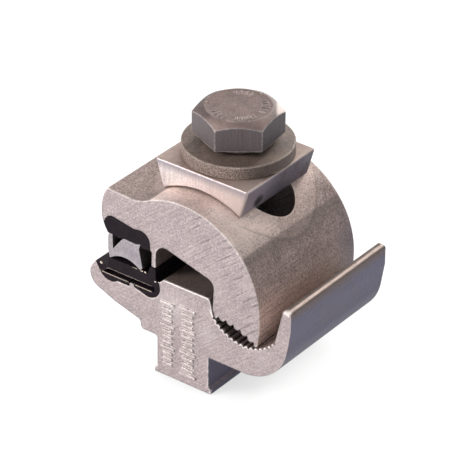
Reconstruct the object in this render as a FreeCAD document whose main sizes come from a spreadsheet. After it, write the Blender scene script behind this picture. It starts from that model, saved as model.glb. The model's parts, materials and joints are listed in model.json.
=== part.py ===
import FreeCAD, Part
import math
import os
import Sketcher

# Branch clamp: two extruded jaws closed by one hexagon bolt.
# X runs across the jaws, with the main conductor on the +X side and the branch conductor on the -X side.
# Y runs along the conductors, and Z runs up the bolt.
# The origin is on the bolt's axis, at the bottom of the lower jaw's boss. All sizes are in millimetres.

sizes = {
    # both jaws, which are sawn from extruded bars; the bed is the lower jaw's flat top
    "jawLength": 25.8,
    "boltSetback": 14.6,
    "bedHeight": 18.3,
    "runningGap": 0.1,
    "insertGap": 0.06,
    # lower jaw: the boss that holds the bolt's thread
    "bossWidth": 10.4,
    "bossLip": 0.55,
    "bossLipHeight": 1.3,
    "tapClearance": 0.05,
    "bedLeft": 3.75,
    "bedRight": 5.3,
    "bedBevel": 0.8,
    "bedBevelWidth": 0.4,
    "channelBevel": 0.95,
    "channelBevelWidth": 1.1,
    # lower jaw: the toothed seat of the main conductor, whose centre lies above the bed
    "seatAcross": 12.3,
    "seatRise": 1.55,
    "seatRadius": 7.55,
    "seatStartAngle": 35.2,
    "seatNotches": 15,
    "seatToothDepth": 0.45,
    # lower jaw: the hook outside that seat
    "hookShift": 0.1,
    "hookDrop": 2.5,
    "hookArmWall": 1.25,
    "hookRiseAngle": 10.0,
    "hookWall": 1.7,
    "hookRise": 3.6,
    "hookTongue": 3.45,
    "hookThick": 1.6,
    "hookRounding": 0.55,
    # lower jaw: the channel with two lobes on the branch side
    "lobeRadius": 2.4,
    "lobeDrop": 2.1,
    "lobeWall": 0.6,
    "outerLobe": 15.0,
    "lobeTopAngle": 15.0,
    "innerFootAngle": 255.0,
    "outerFootAngle": 200.0,
    "floorDrop": 1.9,
    "floorStep": 0.25,
    "ribAcross": 10.5,
    "ribWidth": 0.9,
    "ribHeight": 0.7,
    # lower jaw: the outside of the arm on the branch side
    "lipReach": 3.0,
    "lipRise": 0.42,
    "noseRadius": 2.6,
    "noseReach": 1.6,
    "noseDrop": 2.1,
    "noseTopAngle": 137.0,
    "noseFootAngle": 245.0,
    "bendInset": 2.5,
    "bendDrop": 3.85,
    "stepDrop": 11.15,
    "stepWidth": 3.3,
    "stepRise": 1.6,
    "stepSlant": 0.3,
    "stepRounding": 0.6,
    # lower insert
    "slotRise": 0.8,
    "slotOpening": 1.0,
    "slotInset": 1.3,
    "slotReach": 1.5,
    "slotSlant": 1.1,
    "padReach": 0.45,
    "padBevel": 0.35,
    "fenceAcross": 7.1,
    "fenceSlant": 0.5,
    "fenceHeight": 1.4,
    "fenceWidth": 1.1,
    "fenceFoot": 0.45,
    # upper jaw: the dome that the saddle sits on, round an axis in the bed's plane
    "domeRadius": 15.4,
    "domeEndAngle": 55.6,
    "crestAcross": 15.3,
    "crestRise": 0.35,
    "cheekRadius": 8.6,
    "valleyRounding": 6.0,
    "crestRounding": 0.45,
    # upper jaw: the toothed tip over the main conductor
    "biteRadius": 13.0,
    "biteInsetAngle": 4.0,
    "biteEndAngle": 72.5,
    "biteNotches": 6,
    "biteToothDepth": 0.6,
    "tipInset": 0.05,
    "tipDrop": 2.4,
    "tipBevel": 0.3,
    "tipBevelWidth": 0.41,
    "footDrop": 1.7,
    "footClearance": 0.16,
    # both rows of teeth: the share of the pitch that a notch takes, and its mouth above the arc
    "notchShare": 0.84,
    "notchMouth": 0.2,
    # upper jaw: the channel that the bolt passes through, and the leg beside it
    "channelClearance": 1.05,
    "channelRightRise": 3.4,
    "channelLeftRise": 6.6,
    "channelRightRounding": 1.6,
    "channelLeftRounding": 2.0,
    "legInner": 5.4,
    "legThick": 0.85,
    "legSlant": 0.1,
    "legGap": 0.2,
    "legShoulder": 4.2,
    # upper jaw: the pocket of the upper insert
    "pocketHeight": 6.6,
    "pocketOuter": 16.28,
    "pocketShoulderWidth": 0.93,
    "pocketShoulderRise": 1.15,
    "pocketCrownWidth": 1.88,
    "pocketCrownRise": 1.5,
    "pocketDipWidth": 1.35,
    "pocketDipRise": 0.7,
    "pocketBendRadius": 2.0,
    "pocketBendDrop": 1.1,
    "pocketStep": 0.35,
    "pocketStepRise": 0.4,
    # upper insert
    "insertDrop": 2.25,
    "insertWeb": 1.84,
    "insertCheekInset": 0.43,
    "insertCheekDrop": 1.0,
    "insertRidge": 0.8,
    "insertRidgeRise": 0.1,
    # contact shoe
    "shoeDrop": 1.95,
    "shoeInset": 0.98,
    "shoeWall": 0.95,
    "shoeLean": 0.15,
    "shoeLeanHeight": 1.0,
    "shoeFootTaper": 0.3,
    "shoeFootHeight": 1.5,
    "shoeToe": 0.5,
    "shoeArchRadius": 4.7,
    "shoeTipReach": 0.42,
    "shoeTipRise": 0.4,
    "shoeTipBevel": 0.3,
    "shoeWaist": 0.28,
    "shoeWaistDrop": 0.75,
    "barbRise": 0.2,
    "barbWidth": 0.85,
    "barbDip": 0.15,
    "shoePeakInset": 3.4,
    "shoePeakBevel": 0.35,
    "shoePeakBevelWidth": 0.55,
    "shoeHollow": 1.9,
    "shoeHollowSlant": 0.1,
    # oval hole for the bolt, through the dome
    "boltHoleClearance": 2.1,
    "boltHoleReach": 10.65,
    "boltHoleWall": 0.45,
    "holeSlack": 0.68,
    # pressure saddle
    "saddleWidth": 18.5,
    "saddleFoot": 15.5,
    "saddleLength": 18.1,
    "saddleHeight": 5.25,
    "archRelief": 0.65,
    # conical spring washer
    "washerWidth": 18.45,
    "washerClearance": 0.4,
    "washerThick": 2.2,
    "washerRise": 0.85,
    "washerEdge": 0.25,
    # hexagon bolt
    "boltSize": 8.0,
    "boltLength": 40.0,
    "headFlats": 13.0,
    "headHeight": 5.3,
    "headFace": 0.4,
    "headFaceInset": 0.6,
    "headCrownInset": 2.0,
    "headBevelAngle": 30.0,
    "headTurnAngle": 37.1,
    "boltEndBevel": 0.8,
    "boltSeatGap": 0.03,
}

document = FreeCAD.newDocument("BranchClamp")
sheet = document.addObject("Spreadsheet::Sheet", "Sizes")
for row, (alias, value) in enumerate(sizes.items(), start=1):
    sheet.set(f"A{row}", alias)
    sheet.set(f"B{row}", str(value))
    sheet.setAlias(f"B{row}", alias)
document.recompute()


class Size:
    """A number together with the spreadsheet formula that it comes from."""

    def __init__(self, value, formula):
        self.value = value
        self.formula = formula

    def __add__(self, other):
        other = as_size(other)
        return Size(self.value + other.value, f"({self.formula} + {other.formula})")

    def __sub__(self, other):
        other = as_size(other)
        return Size(self.value - other.value, f"({self.formula} - {other.formula})")

    def __mul__(self, other):
        other = as_size(other)
        return Size(self.value * other.value, f"({self.formula} * {other.formula})")

    def __truediv__(self, other):
        other = as_size(other)
        return Size(self.value / other.value, f"({self.formula} / {other.formula})")

    def __neg__(self):
        return Size(-self.value, f"(-1 * {self.formula})")


def as_size(number):
    return number if isinstance(number, Size) else Size(float(number), repr(float(number)))


def root(length):
    return Size(math.sqrt(length.value), f"sqrt({length.formula})")


def cosine(angle):
    return Size(math.cos(math.radians(angle.value)), f"cos({angle.formula} * 1 deg)")


def sine(angle):
    return Size(math.sin(math.radians(angle.value)), f"sin({angle.formula} * 1 deg)")


def tangent(angle):
    return Size(math.tan(math.radians(angle.value)), f"tan({angle.formula} * 1 deg)")


def arcsine(ratio):
    return Size(math.degrees(math.asin(ratio.value)), f"(asin({ratio.formula}) / 1 deg)")


class Driving:
    """Every driving dimension by its name, such as driving.bossWidth."""

    def __init__(self, values):
        for alias, value in values.items():
            setattr(self, alias, Size(float(value), f"Sizes.{alias}"))


driving = Driving(sizes)


def on_circle(across, height, radius, angle):
    """A point on a circle, at an angle in degrees from +X towards +Z."""
    return across + radius * cosine(angle), height + radius * sine(angle)


def arc_centre(start, end, radius, turn):
    """Centre of the arc from start to end that bends to the left or to the right."""
    middle = (start + end) / 2
    chord = end - start
    rise = math.sqrt(max(radius**2 - (chord.Length / 2) ** 2, 0))
    sideways = FreeCAD.Vector(-chord.y, chord.x, 0).normalize()
    return middle + sideways * (rise if turn == "left" else -rise)


def draw_outline(sketch, outline):
    """Closed outline of corners (x, y), or (x, y, radius, turn) where an arc leads to the corner."""
    corners = [FreeCAD.Vector(corner[0].value, corner[1].value, 0) for corner in outline]
    ends = []
    for index, corner in enumerate(outline):
        start, end = corners[index - 1], corners[index]
        if len(corner) == 2:
            edge = sketch.addGeometry(Part.LineSegment(start, end), False)
            ends.append((edge, 1, 2))
            continue
        radius, turn = corner[2], corner[3]
        centre = arc_centre(start, end, radius.value, turn)
        first, last = (start, end) if turn == "left" else (end, start)
        angles = [math.atan2(spot.y - centre.y, spot.x - centre.x) for spot in (first, last)]
        circle = Part.Circle(centre, FreeCAD.Vector(0, 0, 1), radius.value)
        edge = sketch.addGeometry(Part.ArcOfCircle(circle, angles[0], angles[1]), False)
        ends.append((edge, 1, 2) if turn == "left" else (edge, 2, 1))
        bound(sketch, Sketcher.Constraint("Radius", edge, radius.value), radius)
    for index, (edge, _, finish) in enumerate(ends):
        following, begin, _ = ends[(index + 1) % len(ends)]
        sketch.addConstraint(Sketcher.Constraint("Coincident", edge, finish, following, begin))
        place_point(sketch, edge, finish, outline[index][0], outline[index][1])


def bound(sketch, constraint, size):
    """Adds a constraint whose value follows the spreadsheet."""
    number = sketch.addConstraint(constraint)
    sketch.setExpression(f"Constraints[{number}]", size.formula)


def place_point(sketch, edge, end, across, up):
    """Ties one end of an edge to a place measured from the sketch's origin."""
    bound(sketch, Sketcher.Constraint("DistanceX", -1, 1, edge, end, across.value), across)
    bound(sketch, Sketcher.Constraint("DistanceY", -1, 1, edge, end, up.value), up)


def new_body(label):
    body = document.addObject("PartDesign::Body", label)
    body.Label = label
    return body


def new_sketch(body, plane, name, shift):
    """Sketch on one of the body's own planes, shifted by three sizes along the sketch's axes."""
    sketch = body.newObject("Sketcher::SketchObject", name)
    for feature in body.Origin.OriginFeatures:
        if feature.Role == plane:
            sketch.AttachmentSupport = [(feature, "")]
    sketch.MapMode = "FlatFace"
    for axis, size in zip("xyz", shift):
        sketch.setExpression(f"AttachmentOffset.Base.{axis}", as_size(size).formula)
    document.recompute()
    return sketch


def extrude(body, name, outline, front, length):
    """Cross-section drawn at the front, and carried backwards along +Y."""
    sketch = new_sketch(body, "XZ_Plane", name + "Outline", (0, 0, front))
    draw_outline(sketch, outline)
    pad = body.newObject("PartDesign::Pad", name)
    pad.Profile = sketch
    pad.Reversed = True
    pad.setExpression("Length", length.formula)
    document.recompute()
    return pad


def cut_volume(body, feature):
    """Recomputes, and stops if the cut took nothing away."""
    before = feature.BaseFeature.Shape.Volume
    document.recompute()
    if not body.Shape.Volume < before:
        raise RuntimeError(f"{feature.Name} cuts nothing")


def oval_hole(body, name, near, far, width, setback, top):
    """Hole along Z with two round ends, whose centres lie along X."""
    sketch = new_sketch(body, "XY_Plane", name + "Outline", (0, 0, top))
    radius = width.value / 2
    up = FreeCAD.Vector(0, 0, 1)
    centres = [FreeCAD.Vector(across.value, -setback.value, 0) for across in (near, far)]
    side = FreeCAD.Vector(0, radius, 0)
    quarter = math.pi / 2
    near_end = Part.ArcOfCircle(Part.Circle(centres[0], up, radius), quarter, 3 * quarter)
    far_end = Part.ArcOfCircle(Part.Circle(centres[1], up, radius), -quarter, quarter)
    front = Part.LineSegment(centres[0] - side, centres[1] - side)
    back = Part.LineSegment(centres[1] + side, centres[0] + side)
    loop = [near_end, front, far_end, back]
    near_edge, front_edge, far_edge, back_edge = sketch.addGeometry(loop, False)
    joints = [
        (near_edge, 2, front_edge, 1),
        (front_edge, 2, far_edge, 1),
        (far_edge, 2, back_edge, 1),
        (back_edge, 2, near_edge, 1),
    ]
    for joint in joints:
        sketch.addConstraint(Sketcher.Constraint("Tangent", *joint))
    place_point(sketch, near_edge, 3, near, -setback)
    place_point(sketch, far_edge, 3, far, -setback)
    bound(sketch, Sketcher.Constraint("Radius", near_edge, radius), width / 2)
    pocket = body.newObject("PartDesign::Pocket", name)
    pocket.Profile = sketch
    pocket.Type = "ThroughAll"
    cut_volume(body, pocket)
    return pocket


def round_hole(body, name, diameter, setback, top):
    """Round hole along Z, behind or ahead of the bolt's axis."""
    sketch = new_sketch(body, "XY_Plane", name + "Outline", (0, 0, top))
    spot = FreeCAD.Vector(0, -setback.value, 0)
    edge = sketch.addGeometry(Part.Circle(spot, FreeCAD.Vector(0, 0, 1), diameter.value / 2), False)
    bound(sketch, Sketcher.Constraint("Diameter", edge, diameter.value), diameter)
    place_point(sketch, edge, 3, as_size(0), -setback)
    pocket = body.newObject("PartDesign::Pocket", name)
    pocket.Profile = sketch
    pocket.Type = "ThroughAll"
    cut_volume(body, pocket)
    return pocket


def seat_centre():
    """Centre of the main conductor's seat."""
    d = driving
    return d.seatAcross, d.bedHeight + d.seatRise


def seat_end():
    """End of the toothed seat beside the boss."""
    d = driving
    return on_circle(*seat_centre(), d.seatRadius, as_size(180) + d.seatStartAngle)


def bed_corner():
    """Foot of the bevel along the bed's edge on the seat's side."""
    d = driving
    return d.bedRight + d.bedBevelWidth, d.bedHeight - d.bedBevel


def cut_teeth(body, name, centre, radius, depth, start, span, count):
    """Row of V-notches along an arc, each pointing away from the arc's centre."""
    d = driving
    pitch = span / count
    sketch = new_sketch(body, "XZ_Plane", name + "Outline", (centre[0], centre[1], d.boltSetback))
    first = start + pitch / 2
    spread = pitch * d.notchShare / 2
    zero = as_size(0)
    outline = [
        on_circle(zero, zero, radius - d.notchMouth, first - spread),
        on_circle(zero, zero, radius + depth, first),
        on_circle(zero, zero, radius - d.notchMouth, first + spread),
    ]
    draw_outline(sketch, outline)
    notch = body.newObject("PartDesign::Pocket", name + "First")
    notch.Profile = sketch
    notch.Type = "ThroughAll"
    cut_volume(body, notch)
    row = body.newObject("PartDesign::PolarPattern", name)
    row.Originals = [notch]
    row.Axis = (sketch, ["N_Axis"])
    row.setExpression("Angle", f"{(span - pitch).formula} * 1 deg")
    row.setExpression("Occurrences", count.formula)
    body.Tip = row
    document.recompute()
    return row


def round_corners(body, name, radius, spots):
    """Rounds the long edges that run along Y through the given corners."""
    base = body.Tip
    names = []
    for index, edge in enumerate(base.Shape.Edges, start=1):
        start, end = edge.Vertexes[0].Point, edge.Vertexes[-1].Point
        along_y = abs(start.x - end.x) < 1e-4 and abs(start.z - end.z) < 1e-4
        for across, height in spots:
            near = math.hypot(start.x - across.value, start.z - height.value) < 0.02
            if along_y and near:
                names.append(f"Edge{index}")
    if len(names) != len(spots):
        raise RuntimeError(f"{name}: {len(names)} edges for {len(spots)} corners")
    fillet = body.newObject("PartDesign::Fillet", name)
    fillet.Base = (base, names)
    fillet.setExpression("Radius", radius.formula)
    document.recompute()
    return fillet


def revolve(body, name, outline):
    """Solid of revolution about the bolt's axis."""
    sketch = new_sketch(body, "XZ_Plane", name + "Outline", (0, 0, 0))
    draw_outline(sketch, outline)
    turned = body.newObject("PartDesign::Revolution", name)
    turned.Profile = sketch
    turned.ReferenceAxis = (sketch, ["V_Axis"])
    turned.Angle = 360
    document.recompute()
    return turned


def inner_lobe():
    """Distance from the bolt's axis to the centre of the channel's inner lobe."""
    d = driving
    return d.boltSize / 2 + d.tapClearance + d.lobeWall + d.lobeRadius


def lobe_height():
    d = driving
    return d.bedHeight - d.lobeDrop


def lower_channel(gap):
    """Edge of the branch side's channel, from the bolt side outwards, set in by a gap."""
    d = driving
    radius = d.lobeRadius - gap
    rib_inner = -d.ribAcross + d.ribWidth / 2 + gap
    rib_outer = -d.ribAcross - d.ribWidth / 2 - gap
    drop = d.floorDrop - gap
    floor = lobe_height() - drop
    lobe_top = on_circle(-inner_lobe(), lobe_height(), radius, d.lobeTopAngle)
    lobe_foot = on_circle(-inner_lobe(), lobe_height(), radius, d.innerFootAngle)
    wall_foot = on_circle(-d.outerLobe, lobe_height(), radius, d.outerFootAngle)
    inner_side = [lobe_top, (*lobe_foot, radius, "right"), (rib_inner, floor + d.floorStep)]
    outer_side = [
        (rib_outer, floor),
        (-d.outerLobe + root(radius * radius - drop * drop), floor),
        (*wall_foot, radius, "right"),
        (-d.outerLobe - d.lipReach + gap, lobe_height() + d.lipRise),
    ]
    return inner_side, outer_side, rib_inner, rib_outer


def make_lower_jaw():
    d = driving
    body = new_body("lower_jaw")
    half = d.bossWidth / 2
    bed = d.bedHeight
    seat_right = on_circle(*seat_centre(), d.seatRadius, -d.seatStartAngle)
    hook_across = d.seatAcross - d.hookShift
    hook_height = bed - d.hookDrop
    hook_radius = d.seatRadius + d.hookArmWall
    hook_turn = on_circle(hook_across, hook_height, hook_radius, -d.hookRiseAngle)
    hook_outer = d.seatAcross + d.seatRadius + d.hookWall
    hook_top = bed + d.hookRise
    nose = (-d.outerLobe - d.noseReach, lobe_height() - d.noseDrop)
    inner_side, outer_side, rib_inner, rib_outer = lower_channel(as_size(0))
    rib_top = lobe_height() - d.floorDrop + d.ribHeight
    step = (-half - d.stepWidth, bed - d.stepDrop)
    step_end = (step[0] - d.stepSlant, step[1] + d.stepRise)
    outline = [
        (-half - d.bossLip, as_size(0)),
        (half + d.bossLip, as_size(0)),
        (half + d.bossLip, d.bossLipHeight / 2),
        (half, d.bossLipHeight),
        (half, hook_height - hook_radius),
        (hook_across, hook_height - hook_radius),
        (*hook_turn, hook_radius, "left"),
        (hook_outer, hook_top - d.hookTongue),
        (hook_outer, hook_top),
        (hook_outer - d.hookThick, hook_top),
        seat_right,
        (*seat_end(), d.seatRadius, "right"),
        bed_corner(),
        (d.bedRight, bed),
        (-d.bedLeft, bed),
        (-d.bedLeft - d.channelBevelWidth, bed - d.channelBevel),
        *inner_side,
        (rib_inner, rib_top),
        (rib_outer, rib_top),
        *outer_side,
        on_circle(*nose, d.noseRadius, d.noseTopAngle),
        (*on_circle(*nose, d.noseRadius, d.noseFootAngle), d.noseRadius, "left"),
        (nose[0] + d.bendInset, nose[1] - d.bendDrop),
        step_end,
        step,
        (-half, step[1]),
        (-half, d.bossLipHeight),
        (-half - d.bossLip, d.bossLipHeight / 2),
    ]
    extrude(body, "LowerSection", outline, d.boltSetback, d.jawLength)
    hook_corners = [(hook_outer, hook_top), (hook_outer - d.hookThick, hook_top)]
    round_corners(body, "HookRounding", d.hookRounding, hook_corners)
    round_corners(body, "StepRounding", d.stepRounding, [(-half, step[1]), step, step_end])
    round_hole(body, "TappedHole", d.boltSize + d.tapClearance * 2, as_size(0), hook_top)
    start = as_size(180) + d.seatStartAngle
    span = as_size(180) - d.seatStartAngle * 2
    teeth = (seat_centre(), d.seatRadius, d.seatToothDepth, start, span, d.seatNotches)
    cut_teeth(body, "SeatTeeth", *teeth)
    return body


def fence_top():
    d = driving
    return d.bedHeight + d.fenceHeight


def make_lower_insert():
    d = driving
    body = new_body("lower_insert")
    bed = d.bedHeight
    inner_side, outer_side, rib_inner, rib_outer = lower_channel(d.insertGap)
    slot_floor = lobe_height() - d.floorDrop + d.slotRise
    slot_top = slot_floor + d.slotOpening
    slot_inner = -inner_lobe() + d.slotInset
    slot_outer = -d.outerLobe - d.slotReach
    pad_outer = -d.outerLobe - d.padReach
    fence_outer = -d.fenceAcross + d.fenceSlant
    outline = [
        *inner_side,
        (rib_inner, slot_floor),
        (slot_inner, slot_floor),
        (slot_inner, slot_top),
        (slot_outer + d.slotSlant, slot_top),
        (slot_outer, slot_floor),
        (rib_outer, slot_floor),
        *outer_side,
        (pad_outer, lobe_height() + d.lipRise),
        (pad_outer, bed - d.padBevel),
        (pad_outer + d.padBevel, bed),
        (-d.fenceAcross, bed),
        (fence_outer, fence_top()),
        (fence_outer + d.fenceWidth, fence_top()),
        (fence_outer + d.fenceWidth, bed - d.fenceFoot),
        (-d.bedLeft - d.channelBevelWidth - d.insertGap * 2, bed - d.channelBevel),
    ]
    extrude(body, "LowerInsertSection", outline, d.boltSetback, d.jawLength)
    return body


def leg_outer():
    d = driving
    return d.legInner + d.legThick


def pocket_bend():
    """Centre of the rounded corner at the pocket's bolt side."""
    d = driving
    across = leg_outer() + d.pocketStep + d.pocketBendRadius
    return -across, d.bedHeight + d.pocketHeight - d.pocketBendDrop


def upper_pocket(gap):
    """Edge of the upper insert's pocket, from the outside towards the bolt, set in by a gap."""
    d = driving
    across, height = pocket_bend()
    outer = -d.pocketOuter
    corner = d.bedHeight + d.pocketHeight
    radius = d.pocketBendRadius - gap
    return [
        (outer + gap, corner - gap),
        (outer + d.pocketShoulderWidth + gap, corner + d.pocketShoulderRise - gap),
        (outer + d.pocketCrownWidth, corner + d.pocketCrownRise - gap),
        (across - d.pocketDipWidth, corner + d.pocketDipRise - gap),
        (across, height + radius),
        (across + radius, height, radius, "right"),
    ]


def bite_ends():
    """Angles of the two ends of the upper jaw's toothed arc, seen from the seat's centre."""
    d = driving
    return as_size(180) + d.seatStartAngle + d.biteInsetAngle, as_size(360) - d.biteEndAngle


def bite_arc():
    """Centre of the upper jaw's toothed arc, and the angles where it starts and how far it goes."""
    d = driving
    left, right = bite_ends()
    reach = d.seatRadius - d.runningGap
    facing = (left + right) / 2
    half_chord = reach * sine((right - left) / 2)
    away = root(d.biteRadius * d.biteRadius - half_chord * half_chord)
    centre = on_circle(*seat_centre(), reach * cosine((right - left) / 2) + away, facing)
    half_span = arcsine(half_chord / d.biteRadius)
    return centre, facing - 180 - half_span, half_span * 2


def foot_corner():
    """Corner of the toothed tip that stands clear of the lower jaw's flank."""
    d = driving
    low, high = seat_end(), bed_corner()
    height = d.bedHeight - d.footDrop
    lean = (high[0] - low[0]) / (high[1] - low[1])
    return low[0] + (height - low[1]) * lean + d.footClearance, height


def make_upper_jaw():
    d = driving
    body = new_body("upper_jaw")
    zero = as_size(0)
    bed = d.bedHeight
    reach = d.seatRadius - d.runningGap
    bite_left, bite_right = [on_circle(*seat_centre(), reach, angle) for angle in bite_ends()]
    dome_end = on_circle(zero, bed, d.domeRadius, as_size(180) - d.domeEndAngle)
    crest = (-d.crestAcross, dome_end[1] + d.crestRise)
    pocket = upper_pocket(zero)
    shoulder = bed + d.legShoulder
    leg_bottom = fence_top() + d.legGap
    left_corner = (-d.legInner, bed + d.channelLeftRise)
    right_corner = (d.bedRight + d.channelClearance, bed + d.channelRightRise)
    outline = [
        (bite_right[0] + d.tipBevelWidth, bite_right[1] + d.tipBevel),
        (d.domeRadius - d.tipInset, bed - d.tipDrop),
        (d.domeRadius, bed),
        (*dome_end, d.domeRadius, "left"),
        crest,
        (*pocket[0], d.cheekRadius, "left"),
        *pocket[1:],
        (pocket[-1][0], shoulder + d.pocketStepRise),
        (-leg_outer(), shoulder),
        (-leg_outer() - d.legSlant, leg_bottom),
        (-d.legInner - d.legSlant, leg_bottom),
        left_corner,
        right_corner,
        foot_corner(),
        bite_left,
        (*bite_right, d.biteRadius, "right"),
    ]
    extrude(body, "UpperSection", outline, d.boltSetback, d.jawLength)
    round_corners(body, "ValleyRounding", d.valleyRounding, [dome_end])
    round_corners(body, "CrestRounding", d.crestRounding, [crest])
    round_corners(body, "ChannelLeftRounding", d.channelLeftRounding, [left_corner])
    round_corners(body, "ChannelRightRounding", d.channelRightRounding, [right_corner])
    width = d.boltSize + d.boltHoleClearance
    near = width / 2 - d.legInner + d.boltHoleWall
    far = d.boltHoleReach - width / 2
    oval_hole(body, "BoltHole", near, far, width, d.holeSlack, bed + d.domeRadius * 2)
    centre, start, span = bite_arc()
    teeth = (centre, d.biteRadius, d.biteToothDepth, start, span, d.biteNotches)
    cut_teeth(body, "BiteTeeth", *teeth)
    return body


def shoe_places():
    """Outer side, barb side, bottom and top of the contact shoe."""
    d = driving
    outer = -d.pocketOuter + d.shoeInset
    wall = pocket_bend()[0] + d.pocketBendRadius
    barb = wall - d.insertGap - d.insertWeb - d.insertGap * 2
    return outer, barb, d.bedHeight + d.runningGap, d.bedHeight + d.pocketHeight - d.shoeDrop


def make_upper_insert():
    d = driving
    body = new_body("upper_insert")
    gap = d.insertGap
    outer, barb, _, top = shoe_places()
    pocket = upper_pocket(gap)
    corner = d.bedHeight + d.pocketHeight
    web_bottom = corner - d.insertDrop
    peak = outer + d.shoePeakInset
    outline = [
        *pocket,
        (pocket[-1][0], web_bottom),
        (barb + gap * 2, web_bottom),
        (barb + gap * 2, top + d.barbRise + gap * 2),
        (barb - d.barbWidth, top + gap),
        (peak, top + gap * 2),
        (peak - d.insertRidge, web_bottom + d.insertRidgeRise),
        (outer + d.shoeWall, top + gap),
        (outer, top + gap),
        (-d.pocketOuter + d.insertCheekInset, corner - d.insertCheekDrop),
    ]
    extrude(body, "UpperInsertSection", outline, d.boltSetback, d.jawLength)
    return body


def make_contact_shoe():
    d = driving
    body = new_body("contact_shoe")
    outer, barb, bottom, top = shoe_places()
    waist = barb - d.shoeWaist
    tip = barb + d.shoeTipReach
    peak = outer + d.shoePeakInset
    hollow = outer + d.shoeWall
    outline = [
        (outer + d.shoeToe, bottom),
        (waist, bottom, d.shoeArchRadius, "right"),
        (tip - d.shoeTipBevel, bottom),
        (tip, bottom + d.shoeTipRise),
        (waist, top - d.shoeWaistDrop),
        (barb, top + d.barbRise),
        (barb - d.barbWidth, top - d.barbDip),
        (peak, top),
        (peak - d.shoePeakBevelWidth, top - d.shoePeakBevel),
        (hollow + d.shoeHollowSlant, bottom + d.shoeHollow),
        (hollow, top),
        (outer + d.shoeLean, top),
        (outer, top - d.shoeLeanHeight),
        (outer, bottom + d.shoeFootHeight),
        (outer + d.shoeFootTaper, bottom),
    ]
    extrude(body, "ShoeSection", outline, d.boltSetback, d.jawLength)
    return body


def saddle_foot_height():
    """Height of the saddle's two feet, which stand on the dome with a running gap."""
    d = driving
    reach = d.domeRadius + d.runningGap
    half = d.saddleFoot / 2
    return d.bedHeight + root(reach * reach - half * half)


def make_saddle():
    d = driving
    body = new_body("pressure_saddle")
    foot = saddle_foot_height()
    top = foot + d.saddleHeight
    half = d.saddleFoot / 2
    outline = [
        (d.saddleWidth / 2, top),
        (-d.saddleWidth / 2, top),
        (-half, foot),
        (half, foot, d.domeRadius - d.archRelief, "right"),
    ]
    front = d.saddleLength / 2 + d.holeSlack
    extrude(body, "SaddleSection", outline, front, d.saddleLength)
    above = top + d.saddleHeight
    round_hole(body, "SaddleHole", d.boltSize + d.boltHoleClearance, d.holeSlack, above)
    return body


def make_washer():
    d = driving
    body = new_body("spring_washer")
    base = saddle_foot_height() + d.saddleHeight
    bore = (d.boltSize + d.washerClearance) / 2
    rim = d.washerWidth / 2
    top = base + d.washerThick
    outline = [
        (bore, base + d.washerRise),
        (rim - d.washerEdge, base),
        (rim, base + d.washerEdge),
        (rim, top - d.washerEdge),
        (rim - d.washerEdge, top),
        (bore, top + d.washerRise),
    ]
    revolve(body, "WasherSection", outline)
    return body


def make_bolt():
    d = driving
    body = new_body("hex_bolt")
    bearing = saddle_foot_height() + d.saddleHeight + d.washerThick + d.washerRise + d.boltSeatGap
    tip = bearing - d.boltLength
    radius = d.boltSize / 2
    face = (d.headFlats - d.headFaceInset) / 2
    zero = as_size(0)
    outline = [
        (zero, tip),
        (radius - d.boltEndBevel, tip),
        (radius, tip + d.boltEndBevel),
        (radius, bearing),
        (face, bearing),
        (face, bearing + d.headFace * 2),
        (zero, bearing + d.headFace * 2),
    ]
    revolve(body, "Shank", outline)
    corner = d.headFlats / root(as_size(3))
    head = new_sketch(body, "XY_Plane", "HeadOutline", (0, 0, bearing + d.headFace))
    corners = [on_circle(zero, zero, corner, d.headTurnAngle + 60 * step) for step in range(6)]
    draw_outline(head, corners)
    pad = body.newObject("PartDesign::Pad", "Head")
    pad.Profile = head
    pad.setExpression("Length", (d.headHeight - d.headFace).formula)
    document.recompute()
    top = bearing + d.headHeight
    crown = (d.headFlats - d.headCrownInset) / 2
    outside = corner + d.headFace
    bevel = new_sketch(body, "XZ_Plane", "HeadBevelOutline", (0, 0, 0))
    drop = (outside - crown) * tangent(d.headBevelAngle)
    above = top + d.headFace
    draw_outline(bevel, [(crown, top), (outside, top - drop), (outside, above), (crown, above)])
    groove = body.newObject("PartDesign::Groove", "HeadBevel")
    groove.Profile = bevel
    groove.ReferenceAxis = (bevel, ["V_Axis"])
    groove.Angle = 360
    cut_volume(body, groove)
    return body


def check_and_write(bodies):
    """Stops at any failed feature or unsound solid, and otherwise writes one file a piece."""
    document.recompute()
    for item in document.Objects:
        if "Invalid" in item.State or "Error" in item.State:
            raise RuntimeError(f"{item.Name} failed: {item.State}")
    for body in bodies:
        shape = body.Shape
        if shape.isNull() or not shape.isValid() or len(shape.Solids) != 1:
            raise RuntimeError(f"{body.Label} is not one sound solid")
    os.makedirs("parts", exist_ok=True)
    for body in bodies:
        body.Shape.exportStep(f"parts/{body.Label}.step")
        box = body.Shape.BoundBox
        print(f"{body.Label}: {body.Shape.Volume:.1f} mm3, z {box.ZMin:.2f} to {box.ZMax:.2f}")


check_and_write([
    make_lower_jaw(),
    make_lower_insert(),
    make_upper_jaw(),
    make_upper_insert(),
    make_contact_shoe(),
    make_saddle(),
    make_washer(),
    make_bolt(),
])
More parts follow.
